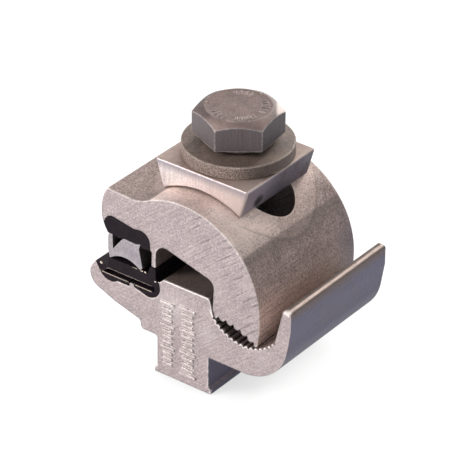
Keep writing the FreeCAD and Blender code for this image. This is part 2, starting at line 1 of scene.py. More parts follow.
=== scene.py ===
import json
import math
import bpy
from mathutils import Euler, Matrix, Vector

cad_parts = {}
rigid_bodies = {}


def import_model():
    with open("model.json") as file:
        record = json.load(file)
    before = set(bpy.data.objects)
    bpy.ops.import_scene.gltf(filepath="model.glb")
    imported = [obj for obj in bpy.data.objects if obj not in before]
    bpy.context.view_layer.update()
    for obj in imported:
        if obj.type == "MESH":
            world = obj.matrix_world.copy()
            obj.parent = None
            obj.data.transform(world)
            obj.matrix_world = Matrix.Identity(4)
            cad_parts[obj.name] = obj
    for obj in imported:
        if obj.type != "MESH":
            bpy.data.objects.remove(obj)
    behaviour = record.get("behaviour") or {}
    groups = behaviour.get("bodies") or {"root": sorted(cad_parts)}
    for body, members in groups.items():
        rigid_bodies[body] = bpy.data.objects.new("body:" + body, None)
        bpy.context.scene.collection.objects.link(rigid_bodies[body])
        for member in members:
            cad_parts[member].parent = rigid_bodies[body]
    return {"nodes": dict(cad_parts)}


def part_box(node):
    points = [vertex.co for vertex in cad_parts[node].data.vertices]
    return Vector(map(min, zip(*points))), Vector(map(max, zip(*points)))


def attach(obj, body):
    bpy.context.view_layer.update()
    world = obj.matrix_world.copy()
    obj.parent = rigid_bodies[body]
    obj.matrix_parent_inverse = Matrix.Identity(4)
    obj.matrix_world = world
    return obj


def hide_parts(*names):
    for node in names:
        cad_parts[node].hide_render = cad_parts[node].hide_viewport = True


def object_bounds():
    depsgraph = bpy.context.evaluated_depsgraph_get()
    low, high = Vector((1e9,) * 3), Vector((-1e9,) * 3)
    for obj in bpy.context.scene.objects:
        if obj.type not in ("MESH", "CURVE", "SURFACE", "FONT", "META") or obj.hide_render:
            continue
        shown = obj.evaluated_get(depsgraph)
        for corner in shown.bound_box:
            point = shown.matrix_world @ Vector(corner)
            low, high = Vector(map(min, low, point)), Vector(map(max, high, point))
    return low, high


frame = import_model()
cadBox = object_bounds()
mm = 0.001
print("Frame loaded")


# Selecting, in the way that the mouse would

def objectMode():
    bpy.ops.object.mode_set(mode="OBJECT")


def selectNone():
    if bpy.context.mode != "OBJECT":
        objectMode()
    bpy.ops.object.select_all(action="DESELECT")


def selectOnly(*pieces):
    selectNone()
    for piece in pieces:
        piece.select_set(True)
    bpy.context.view_layer.objects.active = pieces[0]


def editAll(piece):
    selectOnly(piece)
    bpy.ops.object.mode_set(mode="EDIT")
    bpy.ops.mesh.select_mode(type="VERT")
    bpy.ops.mesh.select_all(action="SELECT")


def editFaces(piece, wanted):
    # wanted takes a face's normal
    editAll(piece)
    bpy.ops.mesh.select_all(action="DESELECT")
    bpy.ops.mesh.select_mode(type="FACE")
    objectMode()
    for face in piece.data.polygons:
        face.select = wanted(face.normal)
    bpy.ops.object.mode_set(mode="EDIT")


# Shaping

shaping = {
    "mergeGap": 0.002 * mm,
    "flatAngle": math.radians(0.6),
    "sharpAngle": math.radians(28),
    "smoothAngle": math.radians(35),
    "softSegments": 2,
}


def applyModifier(piece, kind, **settings):
    selectOnly(piece)
    modifier = piece.modifiers.new(kind.title(), kind)
    for name, value in settings.items():
        setattr(modifier, name, value)
    bpy.ops.object.modifier_apply(modifier=modifier.name)


def applyPlace(piece):
    selectOnly(piece)
    bpy.ops.object.transform_apply(location=True, rotation=True, scale=True)


def bevelEdges(piece, width, segments, angle, **settings):
    # rounds every edge that bends by more than the angle
    limits = {"limit_method": "ANGLE", "angle_limit": angle}
    applyModifier(piece, "BEVEL", width=width, segments=segments, **limits, **settings)


def combineWith(piece, tool, operation):
    applyModifier(piece, "BOOLEAN", object=tool, operation=operation, solver="EXACT")
    bpy.data.objects.remove(tool)


def joinTo(piece, *others):
    selectOnly(piece, *others)
    bpy.ops.object.join()
    return bpy.context.active_object


def finishShading(piece, angle=shaping["smoothAngle"]):
    selectOnly(piece)
    bpy.ops.object.shade_smooth_by_angle(angle=angle)
    applyModifier(piece, "WEIGHTED_NORMAL", keep_sharp=True, weight=100)


def nameNew(name):
    piece = bpy.context.active_object
    piece.name = name
    piece.data.name = name
    return piece


def addTick(name, place, size, rounding, turn=0.0):
    # a small block with all its edges rounded
    selectNone()
    bpy.ops.mesh.primitive_cube_add(size=1.0, location=place, rotation=(0, 0, turn))
    tick = nameNew(name)
    tick.scale = size
    applyPlace(tick)
    applyModifier(tick, "BEVEL", width=rounding, segments=shaping["softSegments"], limit_method="NONE")
    return tick


def addCylinder(name, sides, radius, depth, middle, turn=0.0):
    selectNone()
    settings = {"vertices": sides, "radius": radius, "depth": depth}
    bpy.ops.mesh.primitive_cylinder_add(location=(0, 0, middle), rotation=(0, 0, turn), **settings)
    piece = nameNew(name)
    applyPlace(piece)
    return piece


def drawLine(name, points):
    # a line of edges, extruded point by point from a single vertex
    selectNone()
    bpy.ops.mesh.primitive_plane_add(size=mm)
    piece = nameNew(name)
    editAll(piece)
    bpy.ops.mesh.merge(type="CENTER")
    bpy.ops.transform.translate(value=points[0])
    for start, end in zip(points, points[1:]):
        step = Vector(end) - Vector(start)
        bpy.ops.mesh.extrude_region_move(TRANSFORM_OT_translate={"value": step})
    objectMode()
    applyPlace(piece)
    return piece


def cleanMesh(piece):
    editAll(piece)
    bpy.ops.mesh.remove_doubles(threshold=shaping["mergeGap"])
    bpy.ops.mesh.normals_make_consistent(inside=False)
    objectMode()


def spinLine(piece, steps):
    # turns a drawn line once round Z
    editAll(piece)
    bpy.ops.mesh.spin(steps=steps, angle=math.tau, center=(0, 0, 0), axis=(0, 0, 1))
    cleanMesh(piece)


def finishPiece(piece, node, body, material):
    piece.data.materials.clear()
    piece.data.materials.append(material)
    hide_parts(node)
    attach(piece, body)


# Node building

def addNode(tree, kind, inputs=None, **settings):
    node = tree.nodes.new("ShaderNode" + kind)
    for name, value in settings.items():
        setattr(node, name, value)
    for name, value in (inputs or {}).items():
        if isinstance(value, bpy.types.NodeSocket):
            tree.links.new(value, node.inputs[name])
        else:
            node.inputs[name].default_value = value
    return node


def addMath(tree, operation, first, second=0.0, clamp=False):
    inputs = {0: first, 1: second}
    return addNode(tree, "Math", inputs, operation=operation, use_clamp=clamp).outputs[0]


def addRange(tree, value, low, high, newLow=0.0, newHigh=1.0):
    inputs = {"Value": value, "From Min": low, "From Max": high, "To Min": newLow, "To Max": newHigh}
    return addNode(tree, "MapRange", inputs).outputs["Result"]


def multiply(tree, first, *others):
    for other in others:
        first = addMath(tree, "MULTIPLY", first, other)
    return first


def addUp(tree, first, *others):
    for other in others:
        first = addMath(tree, "ADD", first, other)
    return first


def average(tree, first, second):
    return multiply(tree, addUp(tree, first, second), 0.5)


def larger(tree, first, *others):
    for other in others:
        first = addMath(tree, "MAXIMUM", first, other)
    return first


def inverse(tree, value):
    return addMath(tree, "SUBTRACT", 1.0, value)


def offFrom(tree, value, level):
    return addMath(tree, "ABSOLUTE", addMath(tree, "SUBTRACT", value, level))


def within(tree, *terms):
    # the product of its terms, each a value, or a value and the limits of its range
    return multiply(tree, *[addRange(tree, *term) if isinstance(term, tuple) else term for term in terms])


def addVector(tree, operation, first, second, output="Value"):
    inputs = {0: first, 1: second}
    return addNode(tree, "VectorMath", inputs, operation=operation).outputs[output]


def addMix(tree, factor, first, second):
    node = addNode(tree, "Mix", data_type="RGBA")
    for place, value in ((0, factor), (6, first), (7, second)):
        if isinstance(value, bpy.types.NodeSocket):
            tree.links.new(value, node.inputs[place])
        else:
            node.inputs[place].default_value = value
    return node.outputs[2]


def cover(tree, under, tint, *terms):
    # lays a tint over what is under it, as far as the product of the terms says
    return addMix(tree, within(tree, *terms), under, tint)


def addNoise(tree, vector, scale, detail=4.0, roughness=0.55):
    inputs = {"Vector": vector, "Scale": scale, "Detail": detail, "Roughness": roughness}
    return addNode(tree, "TexNoise", inputs).outputs["Fac"]


def stretch(tree, vector, scale):
    inputs = {"Vector": vector, "Scale": scale}
    return addNode(tree, "Mapping", inputs, vector_type="TEXTURE").outputs[0]


def splitVector(tree, vector):
    return addNode(tree, "SeparateXYZ", {0: vector}).outputs


def newGroup(name, inputs, outputs):
    group = bpy.data.node_groups.new(name, "ShaderNodeTree")
    for label, kind, value in inputs:
        socket = group.interface.new_socket(label, in_out="INPUT", socket_type="NodeSocket" + kind)
        if value is not None:
            socket.default_value = value
    for label in outputs:
        group.interface.new_socket(label, in_out="OUTPUT", socket_type="NodeSocketFloat")
    source = group.nodes.new("NodeGroupInput")
    result = group.nodes.new("NodeGroupOutput")
    return group, source.outputs, result.inputs


def placeGroup(tree, effect, **inputs):
    node = addNode(tree, "Group", node_tree=effects[effect])
    for name, value in inputs.items():
        label = name.replace("_", " ")
        if isinstance(value, bpy.types.NodeSocket):
            tree.links.new(value, node.inputs[label])
        else:
            node.inputs[label].default_value = value
    return node.outputs


# planes to measure a distance in
endOn, fromAbove, allRound = (1, 0, 1), (1, 1, 0), (1, 1, 1)


# edges for wear with painted highlights
def placeWear(tree, vector, look):
    settings = {"Radius": look["wearAndGlintRadius"], "Breakup": look["wearAndGlintBreakup"]}
    return placeGroup(tree, "edgeWear", Vector=vector, **settings)


def roundFrom(tree, vector, centre, plane):
    return placeGroup(tree, "round", Vector=vector, Centre=centre, Plane=plane)["Distance"]


def colour(red, green, blue):
    return (red, green, blue, 1.0)


# Shared effects. All their vectors are in millimetres

def makeEdgeWear():
    # the first output is 1 along edges, broken up by noise, and paints worn edges together with painted
    # highlights; low is 1 along the edges that look down or to the left, and paints shade on them
    inputs = [("Vector", "Vector", None), ("Radius", "Float", 0.2 * mm), ("Breakup", "Float", 0.5)]
    group, source, result = newGroup("EdgeWear", inputs, ["Wear", "Low"])
    rounded = addNode(group, "Bevel", {"Radius": source["Radius"]}, samples=6).outputs["Normal"]
    facing = addNode(group, "NewGeometry").outputs["Normal"]
    edge = addRange(group, addVector(group, "DOT_PRODUCT", rounded, facing), 0.999, 0.955)
    noise = addRange(group, addNoise(group, source["Vector"], 1.3), 0.35, 0.6)
    broken = multiply(group, inverse(group, noise), source["Breakup"])
    kept = addMath(group, "SUBTRACT", 1.0, broken, clamp=True)
    group.links.new(multiply(group, edge, kept), result["Wear"])
    turning = {"vector_type": "NORMAL", "convert_from": "WORLD", "convert_to": "OBJECT"}
    local = addNode(group, "VectorTransform", {0: rounded}, **turning).outputs[0]
    downward = addVector(group, "DOT_PRODUCT", local, (-0.6, 0.0, -0.8))
    group.links.new(addRange(group, downward, 0.06, 0.26), result["Low"])
    return group


def makeMottle():
    # large soft blotches, a fine mottle, dark specks, small bright specks and an even grain
    inputs = [("Vector", "Vector", None), ("Blotch Scale", "Float", 0.35), ("Speck Scale", "Float", 3.0)]
    group, source, result = newGroup("Mottle", inputs, ["Blotch", "Fine", "Specks", "Sparks", "Grain"])
    blotch = addNoise(group, source["Vector"], source["Blotch Scale"], 5.0, 0.7)
    group.links.new(addRange(group, blotch, 0.36, 0.64), result["Blotch"])
    fine = addNoise(group, source["Vector"], 2.4, 4.0, 0.85)
    group.links.new(addRange(group, fine, 0.4, 0.6), result["Fine"])
    specks = addNoise(group, source["Vector"], source["Speck Scale"], 3.0, 0.7)
    group.links.new(addRange(group, specks, 0.52, 0.66), result["Specks"])
    group.links.new(addRange(group, specks, 0.37, 0.27), result["Sparks"])
    grain = addNoise(group, source["Vector"], 4.5, 3.0, 0.75)
    group.links.new(addRange(group, grain, 0.3, 0.7), result["Grain"])
    return group


def makeSawMarks():
    # slanting marks of a saw blade in the X Z plane: a fine drag, and a row of thin deep lines
    inputs = [("Vector", "Vector", None), ("Angle", "Vector", (0, 0, 0)), ("Spacing", "Float", 1.0)]
    group, source, result = newGroup("SawMarks", inputs, ["Strokes", "Deep"])
    turning = {"Vector": source["Vector"], "Rotation": source["Angle"]}
    turned = addNode(group, "VectorRotate", turning, rotation_type="EULER_XYZ").outputs[0]
    fine = addNoise(group, stretch(group, turned, (9.0, 1.0, 0.3)), source["Spacing"], 4.0, 0.6)
    group.links.new(addRange(group, fine, 0.32, 0.68), result["Strokes"])
    bands = {"Vector": turned, "Scale": 0.25, "Distortion": 2.2, "Detail": 2.0, "Detail Scale": 0.4}
    wave = addNode(group, "TexWave", bands, wave_type="BANDS", bands_direction="Z").outputs["Fac"]
    gaps = addNoise(group, stretch(group, turned, (3.0, 1.0, 0.6)), 1.0, 2.0)
    group.links.new(within(group, (wave, 0.68, 1.0), (gaps, 0.45, 0.6)), result["Deep"])
    return group


def makeDieLines():
    # long faint lines that the die leaves along Y
    inputs = [("Vector", "Vector", None), ("Spacing", "Float", 3.0)]
    group, source, result = newGroup("DieLines", inputs, ["Lines"])
    along = stretch(group, source["Vector"], (1.0, 30.0, 1.0))
    lines = addNoise(group, along, source["Spacing"], 3.0, 0.65)
    group.links.new(addRange(group, lines, 0.3, 0.7), result["Lines"])
    return group


def makeCrevice():
    # 1 deep in corners and gaps of the piece itself, where it paints shade
    group, source, result = newGroup("Crevice", [("Reach", "Float", 1.2 * mm)], ["Dirt"])
    inputs = {"Distance": source["Reach"]}
    shade = addNode(group, "AmbientOcclusion", inputs, samples=8, only_local=True).outputs["AO"]
    group.links.new(addRange(group, shade, 0.7, 0.25), result["Dirt"])
    return group


def makeRound():
    # distance from a point, seen along one axis that is scaled to nothing
    inputs = [("Vector", "Vector", None), ("Centre", "Vector", (0, 0, 0)), ("Plane", "Vector", (1, 1, 1))]
    group, source, result = newGroup("Round", inputs, ["Distance"])
    offset = addVector(group, "SUBTRACT", source["Vector"], source["Centre"], "Vector")
    flat = addVector(group, "MULTIPLY", offset, source["Plane"], "Vector")
    reach = addNode(group, "VectorMath", {0: flat}, operation="LENGTH").outputs["Value"]
    group.links.new(reach, result["Distance"])
    return group


effects = {
    "edgeWear": makeEdgeWear(),
    "mottle": makeMottle(),
    "sawMarks": makeSawMarks(),
    "dieLines": makeDieLines(),
    "crevice": makeCrevice(),
    "round": makeRound(),
}
print("Shared effects ready")


def newMaterial(name):
    # a place on the piece is in millimetres, in the frame
    material = bpy.data.materials.new(name)
    material.use_nodes = True
    tree = material.node_tree
    place = addNode(tree, "TexCoord").outputs
    vector = stretch(tree, place["Object"], (mm, mm, mm))
    return material, tree, tree.nodes["Principled BSDF"], vector, place["Normal"]


def finishMaterial(tree, shader, base, grain, relief, look):
    # returns the roughness, which a piece can change further
    tree.links.new(base, shader.inputs["Base Color"])
    shader.inputs["Metallic"].default_value = look.get("metallic", 0.0)
    bump = addNode(tree, "Bump", {"Height": relief, "Distance": look["depth"], "Strength": 1.0})
    tree.links.new(bump.outputs["Normal"], shader.inputs["Normal"])
    rough = addRange(tree, grain, 0.0, 1.0, *look["roughness"])
    tree.links.new(rough, shader.inputs["Roughness"])
    return rough


# Jaws: sawn ends, and an extruded skin along Y

jawLooks = {
    "sawnPale": colour(0.66, 0.55, 0.555),
    "sawnDull": colour(0.30, 0.25, 0.255),
    "sawnSpark": colour(0.95, 0.90, 0.90),
    "sawnSpeck": colour(0.17, 0.135, 0.145),
    "sawStroke": colour(0.15, 0.125, 0.135),
    "skinPale": colour(0.53, 0.415, 0.388),
    "skinDull": colour(0.165, 0.122, 0.11),
    "skinSpeck": colour(0.085, 0.065, 0.06),
    "rubbed": colour(0.80, 0.63, 0.56),
    # a painted golden reflection low on the dome and inside the hook, and a painted highlight on the crest
    "goldenSheen": colour(0.93, 0.765, 0.70),
    # painted cool shade on the hook's outer face, the boss's right side and the dome's back
    "blueGrey": colour(0.135, 0.135, 0.208),
    "blueLow": colour(0.065, 0.066, 0.12),
    "bossGrey": colour(0.088, 0.083, 0.132),
    "bedBrown": colour(0.20, 0.155, 0.14),
    # painted shade in the gap between the teeth and inside the channel
    "inside": colour(0.11, 0.085, 0.077),
    "ribTop": colour(0.012, 0.009, 0.009),
    # where a painted highlight sits at the hook's tip
    "hookTip": (20.7, -14.6, 21.8),
    "shade": colour(0.085, 0.058, 0.053),
    # painted shade and a painted highlight on the hook's rim
    "brownRim": colour(0.11, 0.08, 0.068),
    "rimShine": colour(0.62, 0.50, 0.455),
    "rimLine": 21.0,
    # worn edges with painted highlights, and painted shade along lower edges and in crevices
    "edge": colour(1.0, 0.94, 0.91),
    "outline": colour(0.10, 0.083, 0.092),
    "dirtAndShade": colour(0.05, 0.038, 0.034),
    "sawnMetallic": 0.3,
    "skinMetallic": 0.65,
    "roughness": (0.40, 0.56),
    "wornSmooth": -0.12,
    "depth": 0.05 * mm,
    "wearAndGlintRadius": 0.4 * mm,
    "wearAndGlintBreakup": 0.7,
    "softening": 0.09 * mm,
    "scratchSlope": -0.076,
    "scratchPlace": -11.97,
    "crestMiddle": -1.0,
    "lowerMarks": (0.1, 9.0, 20.0),
    "upperMarks": (0.65, 9.0, 13.5),
    "markRadius": 13.0,
    "markCentre": (0.0, -0.68, 0.0),
    "domeAxis": (0.0, 0.0, 18.3),
    "bed": 18.3,
    "middle": -1.7,
    "halfLength": 12.9,
    "seatAxis": (12.3, 0.0, 19.85),
    "seatRadius": 7.55,
    "sawAngle": (0, math.radians(39), 0),
    "beside": (5.6, -11.4, 31.9),
    "clouds": [
        ((-1.9, 0.0, 14.1), 3.9, "sawnSpark", 0.34),
        ((4.9, 0.0, 11.4), 2.6, "sawnSpark", 0.2),
        ((16.1, 0.0, 11.2), 1.8, "sawnSpark", 0.16),
        ((11.9, 0.0, 19.4), 1.8, "sawnSpeck", 0.24),
    ],
}


def jawMaterial(name, skinFinish, marks):
    # marks holds the strength of the saw's deep marks, and where they fade in from the dome's axis
    look = jawLooks
    end, seat = look["halfLength"], look["seatRadius"]
    strength, near, far = marks
    material, tree, shader, vector, facing = newMaterial(name)
    across, along, height = splitVector(tree, vector)
    mottle = placeGroup(tree, "mottle", Vector=vector)
    saw = placeGroup(tree, "sawMarks", Vector=vector, Angle=look["sawAngle"])
    lines = placeGroup(tree, "dieLines", Vector=vector)["Lines"]
    edges = placeWear(tree, vector, look)
    dirtAndShade = placeGroup(tree, "crevice")["Dirt"]
    fromMiddle = offFrom(tree, along, look["middle"])
    fromDome = roundFrom(tree, vector, look["domeAxis"], endOn)
    fromSeat = roundFrom(tree, vector, look["seatAxis"], endOn)
    sawn = addRange(tree, addMath(tree, "ABSOLUTE", splitVector(tree, facing)[1]), 0.75, 0.95)
    mixed = addUp(tree, multiply(tree, mottle["Fine"], 0.7), multiply(tree, mottle["Blotch"], 0.3))

    # the sawn ends, with soft clouds
    deep = within(tree, saw["Deep"], (fromDome, near, far, 0.15, 1.0), (across, -4.0, 4.0, 0.25, 1.0))
    cut = addMix(tree, mixed, look["sawnDull"], look["sawnPale"])
    for centre, reach, tint, cloudy in look["clouds"]:
        away = addUp(tree, roundFrom(tree, vector, centre, endOn), multiply(tree, mottle["Blotch"], 1.5))
        cut = cover(tree, cut, look[tint], (away, reach + 1.0, reach / 3, 0.0, cloudy))
    cut = cover(tree, cut, look["sawnDull"], saw["Strokes"], 0.38)
    cut = cover(tree, cut, look["sawnSpeck"], mottle["Specks"], 0.4)
    cut = cover(tree, cut, look["sawnSpark"], mottle["Sparks"], 0.8)
    cut = cover(tree, cut, look["sawStroke"], deep, strength)

    # the drawn skin, with painted shade in the gap between the teeth
    skin = addMix(tree, mixed, look["skinDull"], look["skinPale"])
    skin = cover(tree, skin, look["skinDull"], lines, 0.3)
    skin, speckFree = skinFinish(tree, skin, {"vector": vector, "facing": facing, "lines": lines})
    # fewer dark specks on the rubbed mark and on the painted shade and highlight areas
    matt = addMath(tree, "SUBTRACT", 0.75, speckFree, clamp=True)
    skin = cover(tree, skin, look["skinSpeck"], mottle["Specks"], matt)
    # painted shade in the gap between the teeth
    gap = within(tree, (fromSeat, seat + 0.9, seat + 0.6), (across, 14.5, 12.5, 0.0, 0.55))
    skin = cover(tree, skin, look["inside"], gap)

    # painted highlights with wear on the edges at the ends, plainer low on the right, and painted highlights
    # on the teeth, the bed's edge and the hook's tip; painted shade along the lower edges at the ends
    outline = within(tree, edges["Low"], (fromMiddle, end - 0.35, end - 0.15))
    outline = within(tree, outline, (fromMiddle, end + 0.06, end + 0.03))
    lowRight = within(tree, (height, 29.0, 25.0), (height, 12.0, 14.0), (fromDome, 14.0, 14.4), 0.85)
    wearAndGlint = within(tree, edges["Wear"], (fromMiddle, end - 0.6, end - 0.3))
    wearAndGlint = multiply(tree, wearAndGlint, inverse(tree, outline), inverse(tree, lowRight))
    # painted highlights on the teeth tips, the bed's front edge and the hook's tip
    teeth = within(tree, (fromSeat, seat + 0.32, seat + 0.16), (fromSeat, seat - 0.2, seat - 0.1))
    teeth = within(tree, teeth, (height, 16.6, 15.8), sawn)
    fromBed = offFrom(tree, height, look["bed"])
    bedEdge = within(tree, (fromBed, 0.26, 0.14), (fromMiddle, end - 0.35, end - 0.2))
    bedEdge = within(tree, bedEdge, (across, -4.1, -3.9), (across, 5.5, 5.3))
    wearAndGlint = within(tree, larger(tree, wearAndGlint, teeth, bedEdge), (across, 17.6, 18.4, 1.0, 0.15))
    fromTip = addVector(tree, "DISTANCE", vector, look["hookTip"])
    fromTip = addUp(tree, fromTip, multiply(tree, mottle["Grain"], 0.5))
    wearAndGlint = larger(tree, wearAndGlint, addRange(tree, fromTip, 1.1, 0.7, 0.0, 0.85))

    base = addMix(tree, sawn, skin, cut)
    # painted shade in crevices, painted highlights with wear on edges, and painted shade along lower edges
    base = cover(tree, base, look["dirtAndShade"], dirtAndShade, 0.6)
    base = cover(tree, base, look["edge"], wearAndGlint, 0.9)
    base = cover(tree, base, look["outline"], outline, 0.9)
    pressed = multiply(tree, deep, sawn, -1.5)
    drawn = multiply(tree, lines, inverse(tree, sawn))
    relief = addUp(tree, multiply(tree, saw["Strokes"], sawn), drawn, mottle["Grain"], pressed)
    metal = addRange(tree, sawn, 0.0, 1.0, look["skinMetallic"], look["sawnMetallic"])
    tree.links.new(metal, shader.inputs["Metallic"])
    rough = finishMaterial(tree, shader, base, mottle["Grain"], relief, look)
    rough = addUp(tree, rough, multiply(tree, wearAndGlint, look["wornSmooth"]))
    tree.links.new(rough, shader.inputs["Roughness"])
    return material


def lowerSkin(tree, skin, surface):
    # painted cool shade on the hook's outer face, brown near its top, and on the boss's right side; a painted
    # golden reflection inside the hook, painted shade and a painted highlight on the rim, and a dark bed and
    # rib
    look = jawLooks
    turned, _, upward = splitVector(tree, surface["facing"])
    across, _, height = splitVector(tree, surface["vector"])
    patches = addNoise(tree, surface["vector"], 0.3, 3.0)
    outward = addRange(tree, turned, 0.5, 0.9)
    hook = within(tree, outward, (across, 18.5, 19.5))
    blue = within(tree, hook, (height, 21.5, 19.8, 0.1, 0.9), (patches, 0.35, 0.5, 0.8, 1.0))
    cold = cover(tree, look["blueGrey"], look["blueLow"], (height, 18.5, 14.0, 0.0, 0.5))
    rim = within(tree, (upward, 0.3, 0.7), (height, 20.4, 21.0))
    fromRimLine = offFrom(tree, across, look["rimLine"])
    level = within(tree, (upward, 0.7, 0.95), (height, 19.0, 18.6))
    # the hook's outer face: brown near the top, then painted cool shade lower down, and painted shade on the
    # boss's right side
    skin = cover(tree, skin, look["brownRim"], hook, 0.8)
    skin = cover(tree, skin, cold, blue)
    skin = cover(tree, skin, look["bossGrey"], outward, (height, 13.0, 12.0))
    # a painted golden reflection on the hook's inner face
    skin = cover(tree, skin, look["goldenSheen"], (turned, -0.2, -0.6), (across, 16.0, 18.0), 0.9)
    # painted shade on the rim, with a painted highlight along it
    skin = cover(tree, skin, look["brownRim"], rim, 0.9)
    skin = cover(tree, skin, look["rimShine"], rim, (fromRimLine, 0.38, 0.14))
    skin = cover(tree, skin, look["bedBrown"], level, (height, 17.0, 17.4), 0.85)
    skin = cover(tree, skin, look["ribTop"], level, (across, -9.0, -9.5))
    return skin, multiply(tree, larger(tree, hook, rim), 0.3)


def upperSkin(tree, skin, surface):
    # a round mark, rubbed by the saddle's corners, with two dark rims, a pale painted highlight on the crest
    # and one scratch; a painted golden reflection low on the right, and painted shade at the back, on the
    # left slope and inside the channel
    look = jawLooks
    vector, lines, mark = surface["vector"], surface["lines"], look["markRadius"]
    across, along, height = splitVector(tree, vector)
    patches = addNoise(tree, vector, 0.35, 3.0)
    fromMark = roundFrom(tree, vector, look["markCentre"], fromAbove)
    fromDome = roundFrom(tree, vector, look["domeAxis"], endOn)
    fromCrest = offFrom(tree, across, look["crestMiddle"])
    fromRim = offFrom(tree, fromMark, mark + 0.1)
    fromOuterRim = offFrom(tree, fromMark, mark + 1.4)
    scratch = addUp(tree, along, multiply(tree, across, look["scratchSlope"]))
    fromScratch = offFrom(tree, scratch, look["scratchPlace"])
    beside = addVector(tree, "DISTANCE", vector, look["beside"])
    right = addRange(tree, across, 2.0, 5.0)
    above = addRange(tree, height, 19.0, 25.0)
    inside = within(tree, (fromMark, mark + 0.2, mark - 0.2), above, 0.22)
    front = within(tree, (along, -3.0, -7.0), (height, 27.5, 30.5), right)
    crest = larger(tree, addRange(tree, height, 29.5, 32.0), front)
    crest = within(tree, crest, (patches, 0.35, 0.6, 0.75, 0.95), (fromCrest, 1.5, 5.5, 0.42, 1.0))
    crest = within(tree, crest, (across, -6.9, -6.5), (along, -2.5, 2.5, 1.0, 0.25))
    low = within(tree, (height, 23.0, 17.5), (lines, 0.1, 0.6, 0.5, 1.0))
    low = within(tree, low, right, (along, -12.0, 2.0, 1.0, 0.5))
    rim = within(tree, (fromRim, 0.3, 0.0), (height, 31.5, 30.5), above, right)
    outerRim = within(tree, (fromOuterRim, 0.3, 0.0), (along, -3.0, 4.0), right)
    scratched = within(tree, (fromScratch, 0.14, 0.04), (across, 7.2, 7.8), (across, 11.6, 10.8))
    hidden = within(tree, (fromDome, 11.5, 10.5), (across, -6.5, -5.5), (height, 24.0, 26.0, 0.5, 0.15))
    # a painted golden reflection low on the right
    skin = cover(tree, skin, look["goldenSheen"], low, 0.9)
    # painted cool shade at the back
    skin = cover(tree, skin, look["bossGrey"], (along, 5.0, 10.0, 0.0, 0.6), (height, 27.0, 21.0))
    skin = cover(tree, skin, look["rubbed"], inside)
    # a painted highlight on the crest
    skin = cover(tree, skin, look["goldenSheen"], crest)
    skin = cover(tree, skin, look["edge"], (beside, 3.6, 1.2, 0.0, 0.45))
    # painted shade on the left slope
    skin = cover(tree, skin, look["shade"], (across, -12.6, -11.2, 0.0, 0.15), (across, -6.5, -6.9))
    skin = cover(tree, skin, look["skinSpeck"], rim, 0.35)
    skin = cover(tree, skin, look["skinSpeck"], outerRim, 0.25)
    skin = cover(tree, skin, look["edge"], scratched, 0.25)
    # painted shade inside the channel
    skin = cover(tree, skin, look["inside"], hidden)
    return skin, multiply(tree, larger(tree, inside, crest), 0.4)


def roundEdges(piece, wanted, width, segments):
    # rounds the sharp edges whose middle is wanted
    editAll(piece)
    bpy.ops.mesh.select_all(action="DESELECT")
    bpy.ops.mesh.select_mode(type="EDGE")
    bpy.ops.mesh.edges_select_sharp(sharpness=shaping["sharpAngle"])
    objectMode()
    corners = piece.data.vertices
    for edge in piece.data.edges:
        first, second = [corners[number].co for number in edge.vertices]
        edge.select = edge.select and wanted((first + second) / 2)
    bpy.ops.object.mode_set(mode="EDIT")
    bpy.ops.mesh.bevel(offset=width, segments=segments, affect="EDGES", clamp_overlap=False)
    objectMode()


def dressNode(node, name, softening, rounding=None):
    # a merged copy of a CAD node, with its hard edges broken as filing and tumbling would
    selectOnly(frame["nodes"][node])
    bpy.ops.object.duplicate()
    piece = nameNew(name)
    bpy.ops.object.parent_clear(type="CLEAR_KEEP_TRANSFORM")
    editAll(piece)
    bpy.ops.mesh.remove_doubles(threshold=shaping["mergeGap"])
    bpy.ops.mesh.dissolve_limited(angle_limit=shaping["flatAngle"])
    objectMode()
    if rounding:
        roundEdges(piece, *rounding)
    bevelEdges(piece, softening, shaping["softSegments"], shaping["sharpAngle"], use_clamp_overlap=False)
    finishShading(piece)
    return piece


stampedTicks = {
    "rise": 0.28 * mm,
    "width": 0.48 * mm,
    "pitch": 1.06 * mm,
    "columns": [(-3.0 * mm, 14.2 * mm, 12, 1.9 * mm), (1.1 * mm, 14.6 * mm, 13, 2.3 * mm)],
    "longEvery": 4,
    "longer": 0.9 * mm,
    "rounding": 0.09 * mm,
}


def makeTicks(frontFace):
    # two plain scales of raised ticks on the front of the boss
    ticks = []
    for across, top, count, length in stampedTicks["columns"]:
        for number in range(count):
            extra = stampedTicks["longer"] if number % stampedTicks["longEvery"] == 0 else 0.0
            place = (across, frontFace, top - number * stampedTicks["pitch"])
            size = (length + extra, stampedTicks["rise"] * 2, stampedTicks["width"])
            ticks.append(addTick("tick", place, size, stampedTicks["rounding"]))
    return joinTo(*ticks)


# small burrs that the saw has left on the front, as place across, height and size in millimetres
burrs = {
    "stretch": (1.5, 0.6, 0.8),
    "jaw": [
        (-10.45, 15.0, 0.15),
        (-5.55, 17.3, 0.15),
        (-4.75, 17.45, 0.13),
        (-3.72, 18.25, 0.12),
        (5.3, 17.3, 0.12),
    ],
    "insert": [(-16.8, 16.7, 0.18), (-7.6, 18.34, 0.12), (-8.2, 18.3, 0.1)],
}


def makeBurrs(places, front):
    lumps = []
    for across, height, size in places:
        selectNone()
        place = (across * mm, front, height * mm)
        bpy.ops.mesh.primitive_ico_sphere_add(subdivisions=2, radius=size * mm, location=place)
        lump = nameNew("burr")
        lump.scale = burrs["stretch"]
        applyPlace(lump)
        lumps.append(lump)
    return joinTo(*lumps)


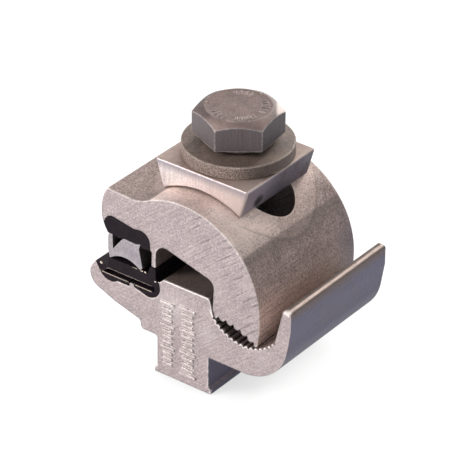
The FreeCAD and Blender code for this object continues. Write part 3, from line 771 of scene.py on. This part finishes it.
lowerJaw = dressNode("lower_jaw", "lowerJaw", jawLooks["softening"])
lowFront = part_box("lower_jaw")[0].y
lowerJaw = joinTo(lowerJaw, makeTicks(lowFront), makeBurrs(burrs["jaw"], lowFront))
lowerMetal = jawMaterial("lowerJawMetal", lowerSkin, jawLooks["lowerMarks"])
finishPiece(lowerJaw, "lower_jaw", "lower_jaw", lowerMetal)
upperJaw = dressNode("upper_jaw", "upperJaw", jawLooks["softening"])
upperMetal = jawMaterial("upperJawMetal", upperSkin, jawLooks["upperMarks"])
finishPiece(upperJaw, "upper_jaw", "upper_jaw", upperMetal)
print("Jaws done")


# Black plastic inserts

plasticLooks = {
    "base": colour(0.0055, 0.0036, 0.0056),
    "dusty": colour(0.014, 0.0092, 0.0125),
    "tint": colour(1.0, 0.80, 0.94),
    "edge": colour(0.80, 0.68, 0.58),
    "specular": 0.14,
    "roughness": (0.5, 0.66),
    "depth": 0.02 * mm,
    "wearAndGlintRadius": 0.2 * mm,
    "wearAndGlintBreakup": 0.0,
    "lowerSoftening": 0.06 * mm,
    "upperSoftening": 0.05 * mm,
    "slotReach": 0.12,
    "ledgeReach": 0.3,
    "slotFloor": (-17.4, -6.2, 15.1),
    "slotTop": (-16.2, -6.2, 16.1),
    "ledge": (-12.4, -6.9, 18.3),
    "rib": -10.5,
}


def nearEdges(tree, across, height, place, reach):
    # 1 between two places across, within reach of a height
    low, high, level = place
    fromLevel = offFrom(tree, height, level)
    return within(tree, (across, low, low + 0.3), (across, high, high - 0.3), (fromLevel, reach + 0.1, reach))


def plasticMaterial(name, glintStrength, lumps, front):
    # pale painted highlights along the slot's edges and the ledge above it, and on the burrs
    look = plasticLooks
    material, tree, shader, vector, _ = newMaterial(name)
    across, along, height = splitVector(tree, vector)
    mottle = placeGroup(tree, "mottle", Vector=vector, Blotch_Scale=0.6)
    wearAndGlint = placeWear(tree, vector, look)["Wear"]
    fromRib = offFrom(tree, across, look["rib"])
    breaks = addNoise(tree, vector, 1.4, 3.0)
    floor = nearEdges(tree, across, height, look["slotFloor"], look["slotReach"])
    floor = within(tree, floor, (fromRib, 0.65, 0.75))
    top = nearEdges(tree, across, height, look["slotTop"], look["slotReach"])
    ledge = nearEdges(tree, across, height, look["ledge"], look["ledgeReach"])
    ledge = within(tree, ledge, (breaks, 0.52, 0.62), (along, front + 0.6, front + 0.3))
    # painted highlights along the slot's edges and the ledge
    wearAndGlint = multiply(tree, wearAndGlint, larger(tree, floor, top, ledge), glintStrength)
    for place, level, size in lumps:
        far = roundFrom(tree, vector, (place, front, level), allRound)
        wearAndGlint = larger(tree, wearAndGlint, addRange(tree, far, size * 1.6, size * 1.3))
    base = cover(tree, look["base"], look["dusty"], mottle["Blotch"], 0.5)
    # pale painted highlights on the edges and burrs
    base = cover(tree, base, look["edge"], wearAndGlint)
    shader.inputs["Specular IOR Level"].default_value = look["specular"]
    shader.inputs["Specular Tint"].default_value = look["tint"]
    finishMaterial(tree, shader, base, mottle["Grain"], mottle["Grain"], look)
    return material


lowerInsert = dressNode("lower_insert", "lowerInsert", plasticLooks["lowerSoftening"])
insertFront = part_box("lower_insert")[0].y
lowerInsert = joinTo(lowerInsert, makeBurrs(burrs["insert"], insertFront))
lowerPlastic = plasticMaterial("lowerPlastic", 0.9, burrs["insert"], insertFront / mm)
finishPiece(lowerInsert, "lower_insert", "lower_jaw", lowerPlastic)
upperInsert = dressNode("upper_insert", "upperInsert", plasticLooks["upperSoftening"])
upperPlastic = plasticMaterial("upperPlastic", 0.0, [], 0)
finishPiece(upperInsert, "upper_insert", "upper_jaw", upperPlastic)
print("Inserts done")


# Contact shoe

shoeLooks = {
    "pale": colour(0.52, 0.47, 0.50),
    "dull": colour(0.26, 0.235, 0.26),
    "edge": colour(0.80, 0.77, 0.76),
    "dirtAndShade": colour(0.07, 0.06, 0.06),
    "sawAngle": (0, math.radians(72), 0),
    "sawSpacing": 1.4,
    "wearAndGlintRadius": 0.12 * mm,
    "wearAndGlintBreakup": 0.5,
    "creviceShadeReach": 0.8 * mm,
    "metallic": 0.55,
    "roughness": (0.38, 0.55),
    "depth": 0.03 * mm,
    "softening": 0.06 * mm,
}


def shoeMaterial():
    look = shoeLooks
    material, tree, shader, vector, facing = newMaterial("shoeMetal")
    mottle = placeGroup(tree, "mottle", Vector=vector, Blotch_Scale=0.8)
    saw = placeGroup(tree, "sawMarks", Vector=vector, Angle=look["sawAngle"], Spacing=look["sawSpacing"])
    wearAndGlint = placeWear(tree, vector, look)["Wear"]
    dirtAndShade = placeGroup(tree, "crevice", Reach=look["creviceShadeReach"])["Dirt"]
    # the right side, for painted shade
    side = addRange(tree, splitVector(tree, facing)[0], 0.6, 0.9)
    base = addMix(tree, average(tree, mottle["Blotch"], mottle["Fine"]), look["dull"], look["pale"])
    base = cover(tree, base, look["dull"], saw["Strokes"], 0.4)
    base = cover(tree, base, look["edge"], mottle["Sparks"], 0.6)
    # painted shade on the right side and in crevices
    base = cover(tree, base, look["dirtAndShade"], larger(tree, side, multiply(tree, dirtAndShade, 0.6)))
    # painted highlights with wear on the edges
    base = cover(tree, base, look["edge"], wearAndGlint, 0.6)
    relief = addUp(tree, saw["Strokes"], mottle["Grain"])
    finishMaterial(tree, shader, base, mottle["Grain"], relief, look)
    return material


contactShoe = dressNode("contact_shoe", "contactShoe", shoeLooks["softening"])
finishPiece(contactShoe, "contact_shoe", "upper_jaw", shoeMaterial())
print("Shoe done")


# Pressure saddle

saddleLooks = {
    "topPale": colour(0.48, 0.375, 0.33),
    "topDull": colour(0.34, 0.26, 0.23),
    "frontPale": colour(0.93, 0.845, 0.825),
    "frontRight": colour(0.60, 0.50, 0.455),
    "frontDull": colour(0.42, 0.36, 0.37),
    "band": colour(0.30, 0.265, 0.305),
    "bluish": colour(0.125, 0.113, 0.158),
    "violet": colour(0.045, 0.037, 0.046),
    "edge": colour(0.74, 0.69, 0.72),
    "nearCorner": colour(0.27, 0.235, 0.285),
    "cornerTop": colour(0.66, 0.54, 0.50),
    "corner": (9.0, -9.0, 37.0),
    "smudge": colour(0.022, 0.017, 0.02),
    "smudgePlace": (7.6, -5.6, 33.5),
    "streaks": (0.45, 1.0, 5.0),
    "wearAndGlintRadius": 0.3 * mm,
    "wearAndGlintBreakup": 0.5,
    "metallic": 0.6,
    "roughness": (0.38, 0.52),
    "depth": 0.03 * mm,
    "softening": 0.06 * mm,
}


def saddleMaterial():
    # drawn on top, with painted light near its front right corner; sawn in front with a band of painted shade
    # above; painted shade on its right side, lighter towards the front, with one smudge; painted highlights
    # with wear on its edges
    look = saddleLooks
    material, tree, shader, vector, facing = newMaterial("saddleMetal")
    across, along, height = splitVector(tree, vector)
    turned, endways, _ = splitVector(tree, facing)
    mottle = placeGroup(tree, "mottle", Vector=vector, Blotch_Scale=0.5)
    lines = placeGroup(tree, "dieLines", Vector=vector, Spacing=2.2)["Lines"]
    wearAndGlint = placeWear(tree, vector, look)["Wear"]
    streaks = addNoise(tree, stretch(tree, vector, look["streaks"]), 1.4, 4.0, 0.65)
    fromCorner = addVector(tree, "DISTANCE", vector, look["corner"])
    fromSmudge = addVector(tree, "DISTANCE", vector, look["smudgePlace"])
    fromSmudge = addUp(tree, fromSmudge, addNoise(tree, vector, 1.2, 3.0))
    outward = addRange(tree, turned, 0.8, 0.97)
    cut = cover(tree, look["frontPale"], look["frontRight"], (across, -7.0, 8.5))
    cut = cover(tree, cut, look["frontDull"], (streaks, 0.38, 0.66), 0.4)
    # a band of painted shade along the top of the front
    cut = cover(tree, cut, look["band"], (height, 35.3, 36.5, 0.0, 0.8))
    cut = cover(tree, cut, look["frontDull"], mottle["Specks"], 0.5)
    # painted shade for the right side, lighter towards the front corner
    dark = addMix(tree, average(tree, mottle["Blotch"], mottle["Fine"]), look["violet"], look["bluish"])
    dark = cover(tree, dark, look["nearCorner"], (along, 0.0, -6.0, 0.0, 0.85))
    base = addMix(tree, mottle["Blotch"], look["topDull"], look["topPale"])
    base = cover(tree, base, look["topDull"], lines, 0.5)
    # painted light near the front right corner of the top
    base = cover(tree, base, look["cornerTop"], (fromCorner, 6.5, 2.0, 0.0, 0.7))
    base = cover(tree, base, cut, (addMath(tree, "ABSOLUTE", endways), 0.7, 0.9))
    # painted shade on the right side
    base = cover(tree, base, dark, outward)
    base = cover(tree, base, look["smudge"], (fromSmudge, 2.1, 1.4), outward)
    # painted highlights with wear on the edges
    base = cover(tree, base, look["edge"], wearAndGlint, 0.42)
    relief = addUp(tree, lines, multiply(tree, mottle["Grain"], 0.5))
    finishMaterial(tree, shader, base, mottle["Grain"], relief, look)
    return material


saddleRounding = {"width": 0.42 * mm, "segments": 5, "above": 33.6 * mm, "outside": 6.5 * mm}


def onSaddleOutside(place):
    return place.z > saddleRounding["above"] and math.hypot(place.x, place.y) > saddleRounding["outside"]


outerEdges = (onSaddleOutside, saddleRounding["width"], saddleRounding["segments"])
saddle = dressNode("pressure_saddle", "saddle", saddleLooks["softening"], outerEdges)
finishPiece(saddle, "pressure_saddle", "saddle", saddleMaterial())
print("Saddle done")


# Conical spring washer

washer = {
    "bore": 4.2 * mm,
    "rim": 9.225 * mm,
    "thick": 2.2 * mm,
    "rise": 0.85 * mm,
    "rounding": 0.18 * mm,
    "roundedAngle": math.radians(30),
    "segments": 4,
    "steps": 128,
}

washerLooks = {
    "top": colour(0.10, 0.078, 0.066),
    "topPale": colour(0.31, 0.227, 0.19),
    "rim": colour(0.54, 0.42, 0.365),
    "edge": colour(1.0, 0.9, 0.8),
    "dirtAndShade": colour(0.04, 0.032, 0.028),
    "rightward": (0.8, 0.6, 0.0),
    "forward": (0.6, -0.8, 0.0),
    "wearAndGlintRadius": 0.22 * mm,
    "wearAndGlintBreakup": 0.6,
    "metallic": 0.6,
    "roughness": (0.38, 0.6),
    "depth": 0.04 * mm,
}


def washerMaterial():
    # a mottled top with painted shade to the right and painted light to the front, and a sandy rim with
    # painted shade to the right; painted highlights with wear on the edges
    look = washerLooks
    material, tree, shader, vector, facing = newMaterial("washerSteel")
    mottle = placeGroup(tree, "mottle", Vector=vector, Blotch_Scale=0.45, Speck_Scale=4.5)
    wearAndGlint = placeWear(tree, vector, look)["Wear"]
    flat = addRange(tree, addMath(tree, "ABSOLUTE", splitVector(tree, facing)[2]), 0.5, 0.85)
    rightward = addVector(tree, "DOT_PRODUCT", vector, look["rightward"])
    forward = addVector(tree, "DOT_PRODUCT", vector, look["forward"])
    sand = addRange(tree, addNoise(tree, vector, 5.0, 3.0, 0.75), 0.38, 0.62)
    rimSand = multiply(tree, sand, inverse(tree, flat))
    top = addMix(tree, average(tree, mottle["Blotch"], mottle["Fine"]), look["top"], look["topPale"])
    # painted shade to the right and painted light to the front of the top
    top = cover(tree, top, look["dirtAndShade"], (rightward, 4.5, 8.0, 0.0, 0.35))
    top = cover(tree, top, look["topPale"], (forward, 3.0, 7.0, 0.0, 0.45))
    # painted shade on the rim to the right
    rim = cover(tree, look["rim"], look["dirtAndShade"], (rightward, -1.0, 4.3, 0.0, 0.72))
    base = addMix(tree, flat, rim, top)
    base = cover(tree, base, look["top"], rimSand, 0.9)
    base = cover(tree, base, look["dirtAndShade"], sand, 0.3)
    base = cover(tree, base, look["dirtAndShade"], mottle["Specks"], 0.5)
    # painted highlights with wear on the edges
    base = cover(tree, base, look["edge"], wearAndGlint)
    relief = addUp(tree, mottle["Grain"], multiply(tree, rimSand, 2.0))
    finishMaterial(tree, shader, base, mottle["Grain"], relief, look)
    return material


def makeWasher():
    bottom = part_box("spring_washer")[0].z
    top = bottom + washer["thick"]
    profile = [
        (washer["bore"], 0, bottom + washer["rise"]),
        (washer["rim"], 0, bottom),
        (washer["rim"], 0, top),
        (washer["bore"], 0, top + washer["rise"]),
        (washer["bore"], 0, bottom + washer["rise"]),
    ]
    piece = drawLine("washer", profile)
    spinLine(piece, washer["steps"])
    bevelEdges(piece, washer["rounding"], washer["segments"], washer["roundedAngle"])
    finishShading(piece)
    return piece


finishPiece(makeWasher(), "spring_washer", "saddle", washerMaterial())
print("Washer done")


# Hexagon bolt

bolt = {
    "flats": 13.0 * mm,
    "headHeight": 5.3 * mm,
    "face": 0.4 * mm,
    "faceWidth": 12.4 * mm,
    "faceSides": 128,
    "turn": 37.1,
    "crown": 11.0 * mm,
    "crownSides": 192,
    "bevelAngle": 30.0,
    "recessBorder": 0.45 * mm,
    "rounding": 0.1 * mm,
    "roundedAngle": math.radians(14),
    "segments": 3,
    "smoothAngle": math.radians(30),
    "major": 3.97 * mm,
    "minor": 3.27 * mm,
    "pitch": 1.25 * mm,
    "crest": 0.2 * mm,
    "flank": 0.41 * mm,
    "tipBevel": 0.8 * mm,
    "envelopeGap": 0.05 * mm,
    "envelopeSides": 96,
    "steps": 48,
}

headTicks = {
    "ring": 4.3 * mm,
    "length": 1.1 * mm,
    "width": 0.3 * mm,
    "recess": 0.09 * mm,
    "rise": 0.09 * mm,
    "rounding": 0.05 * mm,
    "rows": [(-118, 4, 11), (-58, 5, 10), (8, 6, 10), (98, 4, 12)],
}

boltLooks = {
    "base": colour(0.125, 0.088, 0.08),
    "pale": colour(0.26, 0.185, 0.168),
    "paler": colour(0.40, 0.30, 0.275),
    "sides": colour(0.115, 0.096, 0.102),
    "sidesPale": colour(0.185, 0.148, 0.145),
    "thread": colour(0.12, 0.11, 0.11),
    # a painted highlight at one corner of the slanted border
    "cornerGlint": colour(0.42, 0.37, 0.355),
    "cool": colour(0.028, 0.025, 0.034),
    "edge": colour(1.0, 0.9, 0.86),
    "dirtAndShade": colour(0.05, 0.042, 0.042),
    "rightward": (0.8, 0.6, 0.0),
    "backward": (-0.6, 0.8, 0.0),
    "streaks": (1.0, 1.0, 14.0),
    "wearAndGlintRadius": 0.26 * mm,
    "wearAndGlintBreakup": 0.8,
    "creviceShadeReach": 0.6 * mm,
    "metallic": 0.6,
    "roughness": (0.4, 0.56),
    "depth": 0.035 * mm,
}


def boltMaterial():
    # a mottled top with a slanted border that has painted shade behind, to the right and to the left, painted
    # light in front and a painted highlight at one corner; streaked sides with painted shade on the right;
    # painted shade in crevices and painted highlights with wear on the edges
    look = boltLooks
    material, tree, shader, vector, facing = newMaterial("boltSteel")
    turned, _, upward = splitVector(tree, facing)
    mottle = placeGroup(tree, "mottle", Vector=vector, Blotch_Scale=0.4)
    wearAndGlint = placeWear(tree, vector, look)["Wear"]
    dirtAndShade = placeGroup(tree, "crevice", Reach=look["creviceShadeReach"])["Dirt"]
    streaks = addNoise(tree, stretch(tree, vector, look["streaks"]), 2.6, 4.0, 0.65)
    rightward = addVector(tree, "DOT_PRODUCT", vector, look["rightward"])
    backward = addVector(tree, "DOT_PRODUCT", vector, look["backward"])
    fromAxis = roundFrom(tree, vector, (0, 0, 0), fromAbove)
    flat = addRange(tree, upward, 0.5, 0.8)
    slant = addRange(tree, upward, 0.98, 0.92)
    behind = addRange(tree, backward, 0.0, 5.0, 0.0, 0.6)
    right = addRange(tree, rightward, 4.2, 6.0, 0.0, 0.6)
    left = addRange(tree, rightward, -3.5, -4.7, 0.0, 0.4)
    top = addMix(tree, average(tree, mottle["Blotch"], mottle["Fine"]), look["base"], look["pale"])
    # painted shade on the slanted border behind, to the right and to the left, and painted light in front
    top = cover(tree, top, look["cool"], slant, larger(tree, behind, right, left))
    top = cover(tree, top, look["paler"], slant, (backward, -3.0, -5.5, 0.0, 0.5))
    side = cover(tree, look["sides"], look["sidesPale"], (streaks, 0.35, 0.65), 0.45)
    # painted shade on the right sides
    side = cover(tree, side, look["cool"], (turned, 0.8, 0.95, 0.0, 0.5))
    base = addMix(tree, flat, side, top)
    base = cover(tree, base, look["thread"], (splitVector(tree, vector)[2], 40.0, 39.0))
    base = cover(tree, base, look["dirtAndShade"], mottle["Specks"], 0.25)
    # painted shade in crevices
    base = cover(tree, base, look["dirtAndShade"], dirtAndShade, 0.6)
    # painted highlights with wear on the outer edges
    base = cover(tree, base, look["edge"], wearAndGlint, (fromAxis, 4.95, 5.1, 0.6, 1.0), 0.75)
    fromSideAxis = addMath(tree, "ABSOLUTE", backward)
    # a painted highlight at one corner of the slanted border
    base = cover(tree, base, look["cornerGlint"], (rightward, 5.8, 6.3), slant, flat, (fromSideAxis, 3.4, 2.0))
    relief = addUp(tree, mottle["Grain"], multiply(tree, mottle["Blotch"], 0.8))
    finishMaterial(tree, shader, base, mottle["Grain"], relief, look)
    return material


def cutLevel(piece, height, keepAbove):
    # slices a closed piece level, and closes the cut
    editAll(piece)
    settings = {"plane_co": (0, 0, height), "plane_no": (0, 0, 1), "use_fill": True}
    bpy.ops.mesh.bisect(clear_inner=keepAbove, clear_outer=not keepAbove, **settings)
    objectMode()


def makeThread(bottom, top):
    start = bottom - bolt["pitch"] * 1.5
    root = start + bolt["pitch"] - bolt["crest"] - bolt["flank"] * 2
    turns = math.ceil((top - start) / bolt["pitch"]) + 1
    profile = [
        (bolt["minor"], 0, start),
        (bolt["minor"], 0, root),
        (bolt["major"], 0, root + bolt["flank"]),
        (bolt["major"], 0, root + bolt["flank"] + bolt["crest"]),
        (bolt["minor"], 0, start + bolt["pitch"]),
    ]
    piece = drawLine("thread", profile)
    settings = {"screw_offset": bolt["pitch"], "iterations": turns, "use_merge_vertices": True}
    steps = {"steps": bolt["steps"], "render_steps": bolt["steps"], "merge_threshold": shaping["mergeGap"]}
    applyModifier(piece, "SCREW", angle=math.tau, axis="Z", **settings, **steps)
    cleanMesh(piece)
    cutLevel(piece, bottom, True)
    cutLevel(piece, top, False)
    # the envelope is a touch longer than the thread, and bevels its tip
    radius = bolt["major"] + bolt["envelopeGap"]
    length = (top - bottom) * 1.001
    envelope = addCylinder("envelope", bolt["envelopeSides"], radius, length, (top + bottom) / 2)
    editFaces(envelope, lambda normal: normal.z < -0.9)
    bpy.ops.mesh.bevel(offset=bolt["tipBevel"], segments=1, affect="EDGES")
    objectMode()
    combineWith(piece, envelope, "INTERSECT")
    return piece


def makeHead(bearing):
    depth = bolt["headHeight"] - bolt["face"]
    radius = bolt["flats"] / math.sqrt(3)
    # a corner of the hexagon stands 30 degrees from the middle of a flat
    turn = math.radians(bolt["turn"] - 30)
    head = addCylinder("hexBolt", 6, radius, depth, bearing + bolt["face"] + depth / 2, turn)
    crown = bolt["crown"] / 2
    tall = bolt["headHeight"] * 1.2
    low = crown + tall / math.tan(math.radians(bolt["bevelAngle"]))
    place = (0, 0, bearing + bolt["headHeight"] - tall / 2)
    settings = {"vertices": bolt["crownSides"], "radius1": low, "radius2": crown, "depth": tall}
    selectNone()
    bpy.ops.mesh.primitive_cone_add(location=place, **settings)
    cone = nameNew("crown")
    applyPlace(cone)
    combineWith(head, cone, "INTERSECT")
    width, thick = bolt["faceWidth"] / 2, bolt["face"] * 2
    combineWith(head, addCylinder("face", bolt["faceSides"], width, thick, bearing + bolt["face"]), "UNION")
    cleanMesh(head)
    editFaces(head, lambda normal: normal.z > 0.99)
    bpy.ops.mesh.inset(thickness=bolt["recessBorder"], depth=-headTicks["recess"])
    objectMode()
    bevelEdges(head, bolt["rounding"], bolt["segments"], bolt["roundedAngle"], use_clamp_overlap=False)
    return head


def makeHeadTicks(top):
    # plain radial ticks in four short rows, each given by its first angle, number and spacing in degrees
    ticks = []
    size = (headTicks["length"], headTicks["width"], headTicks["rise"] * 2)
    for first, count, spacing in headTicks["rows"]:
        for number in range(count):
            angle = math.radians(first + number * spacing)
            place = (headTicks["ring"] * math.cos(angle), headTicks["ring"] * math.sin(angle), top)
            ticks.append(addTick("headTick", place, size, headTicks["rounding"], angle))
    return joinTo(*ticks)


def makeBolt():
    low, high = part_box("hex_bolt")
    bearing = high.z - bolt["headHeight"]
    head = makeHead(bearing)
    thread = makeThread(low.z, bearing + bolt["face"])
    piece = joinTo(head, thread, makeHeadTicks(high.z - headTicks["recess"]))
    finishShading(piece, bolt["smoothAngle"])
    return piece


finishPiece(makeBolt(), "hex_bolt", "bolt", boltMaterial())
print("Bolt done")


# Floor: a wide pale sweep that rises all round, far outside the object

floorLooks = {
    "colour": colour(0.86, 0.86, 0.865),
    "roughness": 0.8,
    "specular": 0.2,
    "lift": 0.8,
    "white": 1.2,
    "shaded": 0.68,
    "halo": 9 * mm,
    "openness": (0.3, 0.8),
    "flat": 1.9,
    "bend": 0.6,
    "bendSteps": 8,
    "top": 2.4,
    "gap": 0.02 * mm,
    "steps": 72,
}


def floorMaterial():
    # seen as nearly white, with a soft painted shadow close to the object
    look = floorLooks
    material = bpy.data.materials.new("paleFloor")
    material.use_nodes = True
    tree = material.node_tree
    shader = tree.nodes["Principled BSDF"]
    shader.inputs["Base Color"].default_value = look["colour"]
    shader.inputs["Roughness"].default_value = look["roughness"]
    shader.inputs["Specular IOR Level"].default_value = look["specular"]
    rays = addNode(tree, "LightPath").outputs
    seen = larger(tree, rays["Is Camera Ray"], rays["Is Glossy Ray"], rays["Is Transmission Ray"])
    # openness darkens the white near the object: a painted soft shadow
    openness = addNode(tree, "AmbientOcclusion", {"Distance": look["halo"]}, samples=16).outputs["AO"]
    strength = addRange(tree, openness, *look["openness"], look["white"] * look["shaded"], look["white"])
    white = addNode(tree, "Emission", {"Color": colour(1.0, 1.0, 1.0), "Strength": strength})
    parts = {0: multiply(tree, seen, look["lift"]), 1: shader.outputs[0], 2: white.outputs[0]}
    mix = addNode(tree, "MixShader", parts)
    tree.links.new(mix.outputs[0], tree.nodes["Material Output"].inputs["Surface"])
    return material


def makeFloor():
    low = cadBox[0].z - floorLooks["gap"]
    flat, bend, steps = floorLooks["flat"], floorLooks["bend"], floorLooks["bendSteps"]
    profile = [(0, 0, low)]
    for step in range(steps + 1):
        angle = math.radians(90) * step / steps
        profile.append((flat + bend * math.sin(angle), 0, low + bend * (1 - math.cos(angle))))
    profile.append((flat + bend, 0, floorLooks["top"]))
    piece = drawLine("floor", profile)
    spinLine(piece, floorLooks["steps"])
    selectOnly(piece)
    bpy.ops.object.shade_smooth()
    piece.data.materials.append(floorMaterial())


makeFloor()


# Lamps: a broad soft key from the left and front, two at the back, and a weak cool fill on the right

lamps = [
    {"name": "key", "from": (-0.80, -0.82, 0.62), "size": 0.5, "power": 19.0, "colour": (1.0, 0.965, 0.94)},
    {"name": "back", "from": (-0.12, 0.88, 0.55), "size": 1.0, "power": 4.0, "colour": (1.0, 0.97, 0.93)},
    {"name": "rear", "from": (-0.17, 0.97, 0.31), "size": 0.3, "power": 4.0, "colour": (1.0, 0.95, 0.88)},
    {"name": "fill", "from": (1.0, -0.55, 0.25), "size": 0.4, "power": 0.12, "colour": (0.80, 0.86, 1.0)},
]
aim = Vector((0, 0, 0.02))


def makeLamps():
    for lamp in lamps:
        place = Vector(lamp["from"])
        turn = (aim - place).to_track_quat("-Z", "Y").to_euler()
        bpy.ops.object.light_add(type="AREA", location=place, rotation=turn)
        light = bpy.context.active_object
        light.name = lamp["name"]
        light.data.shape = "DISK"
        light.data.size = lamp["size"]
        light.data.energy = lamp["power"]
        light.data.color = lamp["colour"]


worldLooks = {"colour": colour(0.84, 0.88, 0.96), "strength": 0.2}


def makeWorld():
    world = bpy.data.worlds.new("studio")
    bpy.context.scene.world = world
    world.use_nodes = True
    room = world.node_tree.nodes["Background"]
    room.inputs["Color"].default_value = worldLooks["colour"]
    room.inputs["Strength"].default_value = worldLooks["strength"]


makeLamps()
makeWorld()
print("Light done")


# Camera, fitted to the photo

view = {
    "azimuth": 37.19,
    "elevation": 31.462,
    "roll": 0.359,
    "distance": 479.91 * mm,
    "across": -1.976 * mm,
    "up": -12.022 * mm,
    "target": (0, 0, 36.97 * mm),
    "lens": 238.94,
    "sensor": 36.0,
    "clipStart": 10 * mm,
}


def makeCamera():
    angles = (math.radians(90 - view["elevation"]), 0, math.radians(view["azimuth"]))
    turn = Euler(angles, "XYZ").to_matrix() @ Euler((0, 0, math.radians(view["roll"])), "XYZ").to_matrix()
    shift = Vector((view["across"], view["up"], view["distance"]))
    place = Vector(view["target"]) + turn @ shift
    bpy.ops.object.camera_add(location=place, rotation=turn.to_euler())
    camera = bpy.context.active_object
    camera.data.lens = view["lens"]
    camera.data.sensor_width = view["sensor"]
    camera.data.clip_start = view["clipStart"]
    bpy.context.scene.camera = camera


makeCamera()
bpy.context.scene.view_settings.view_transform = "Standard"
print("Camera done")
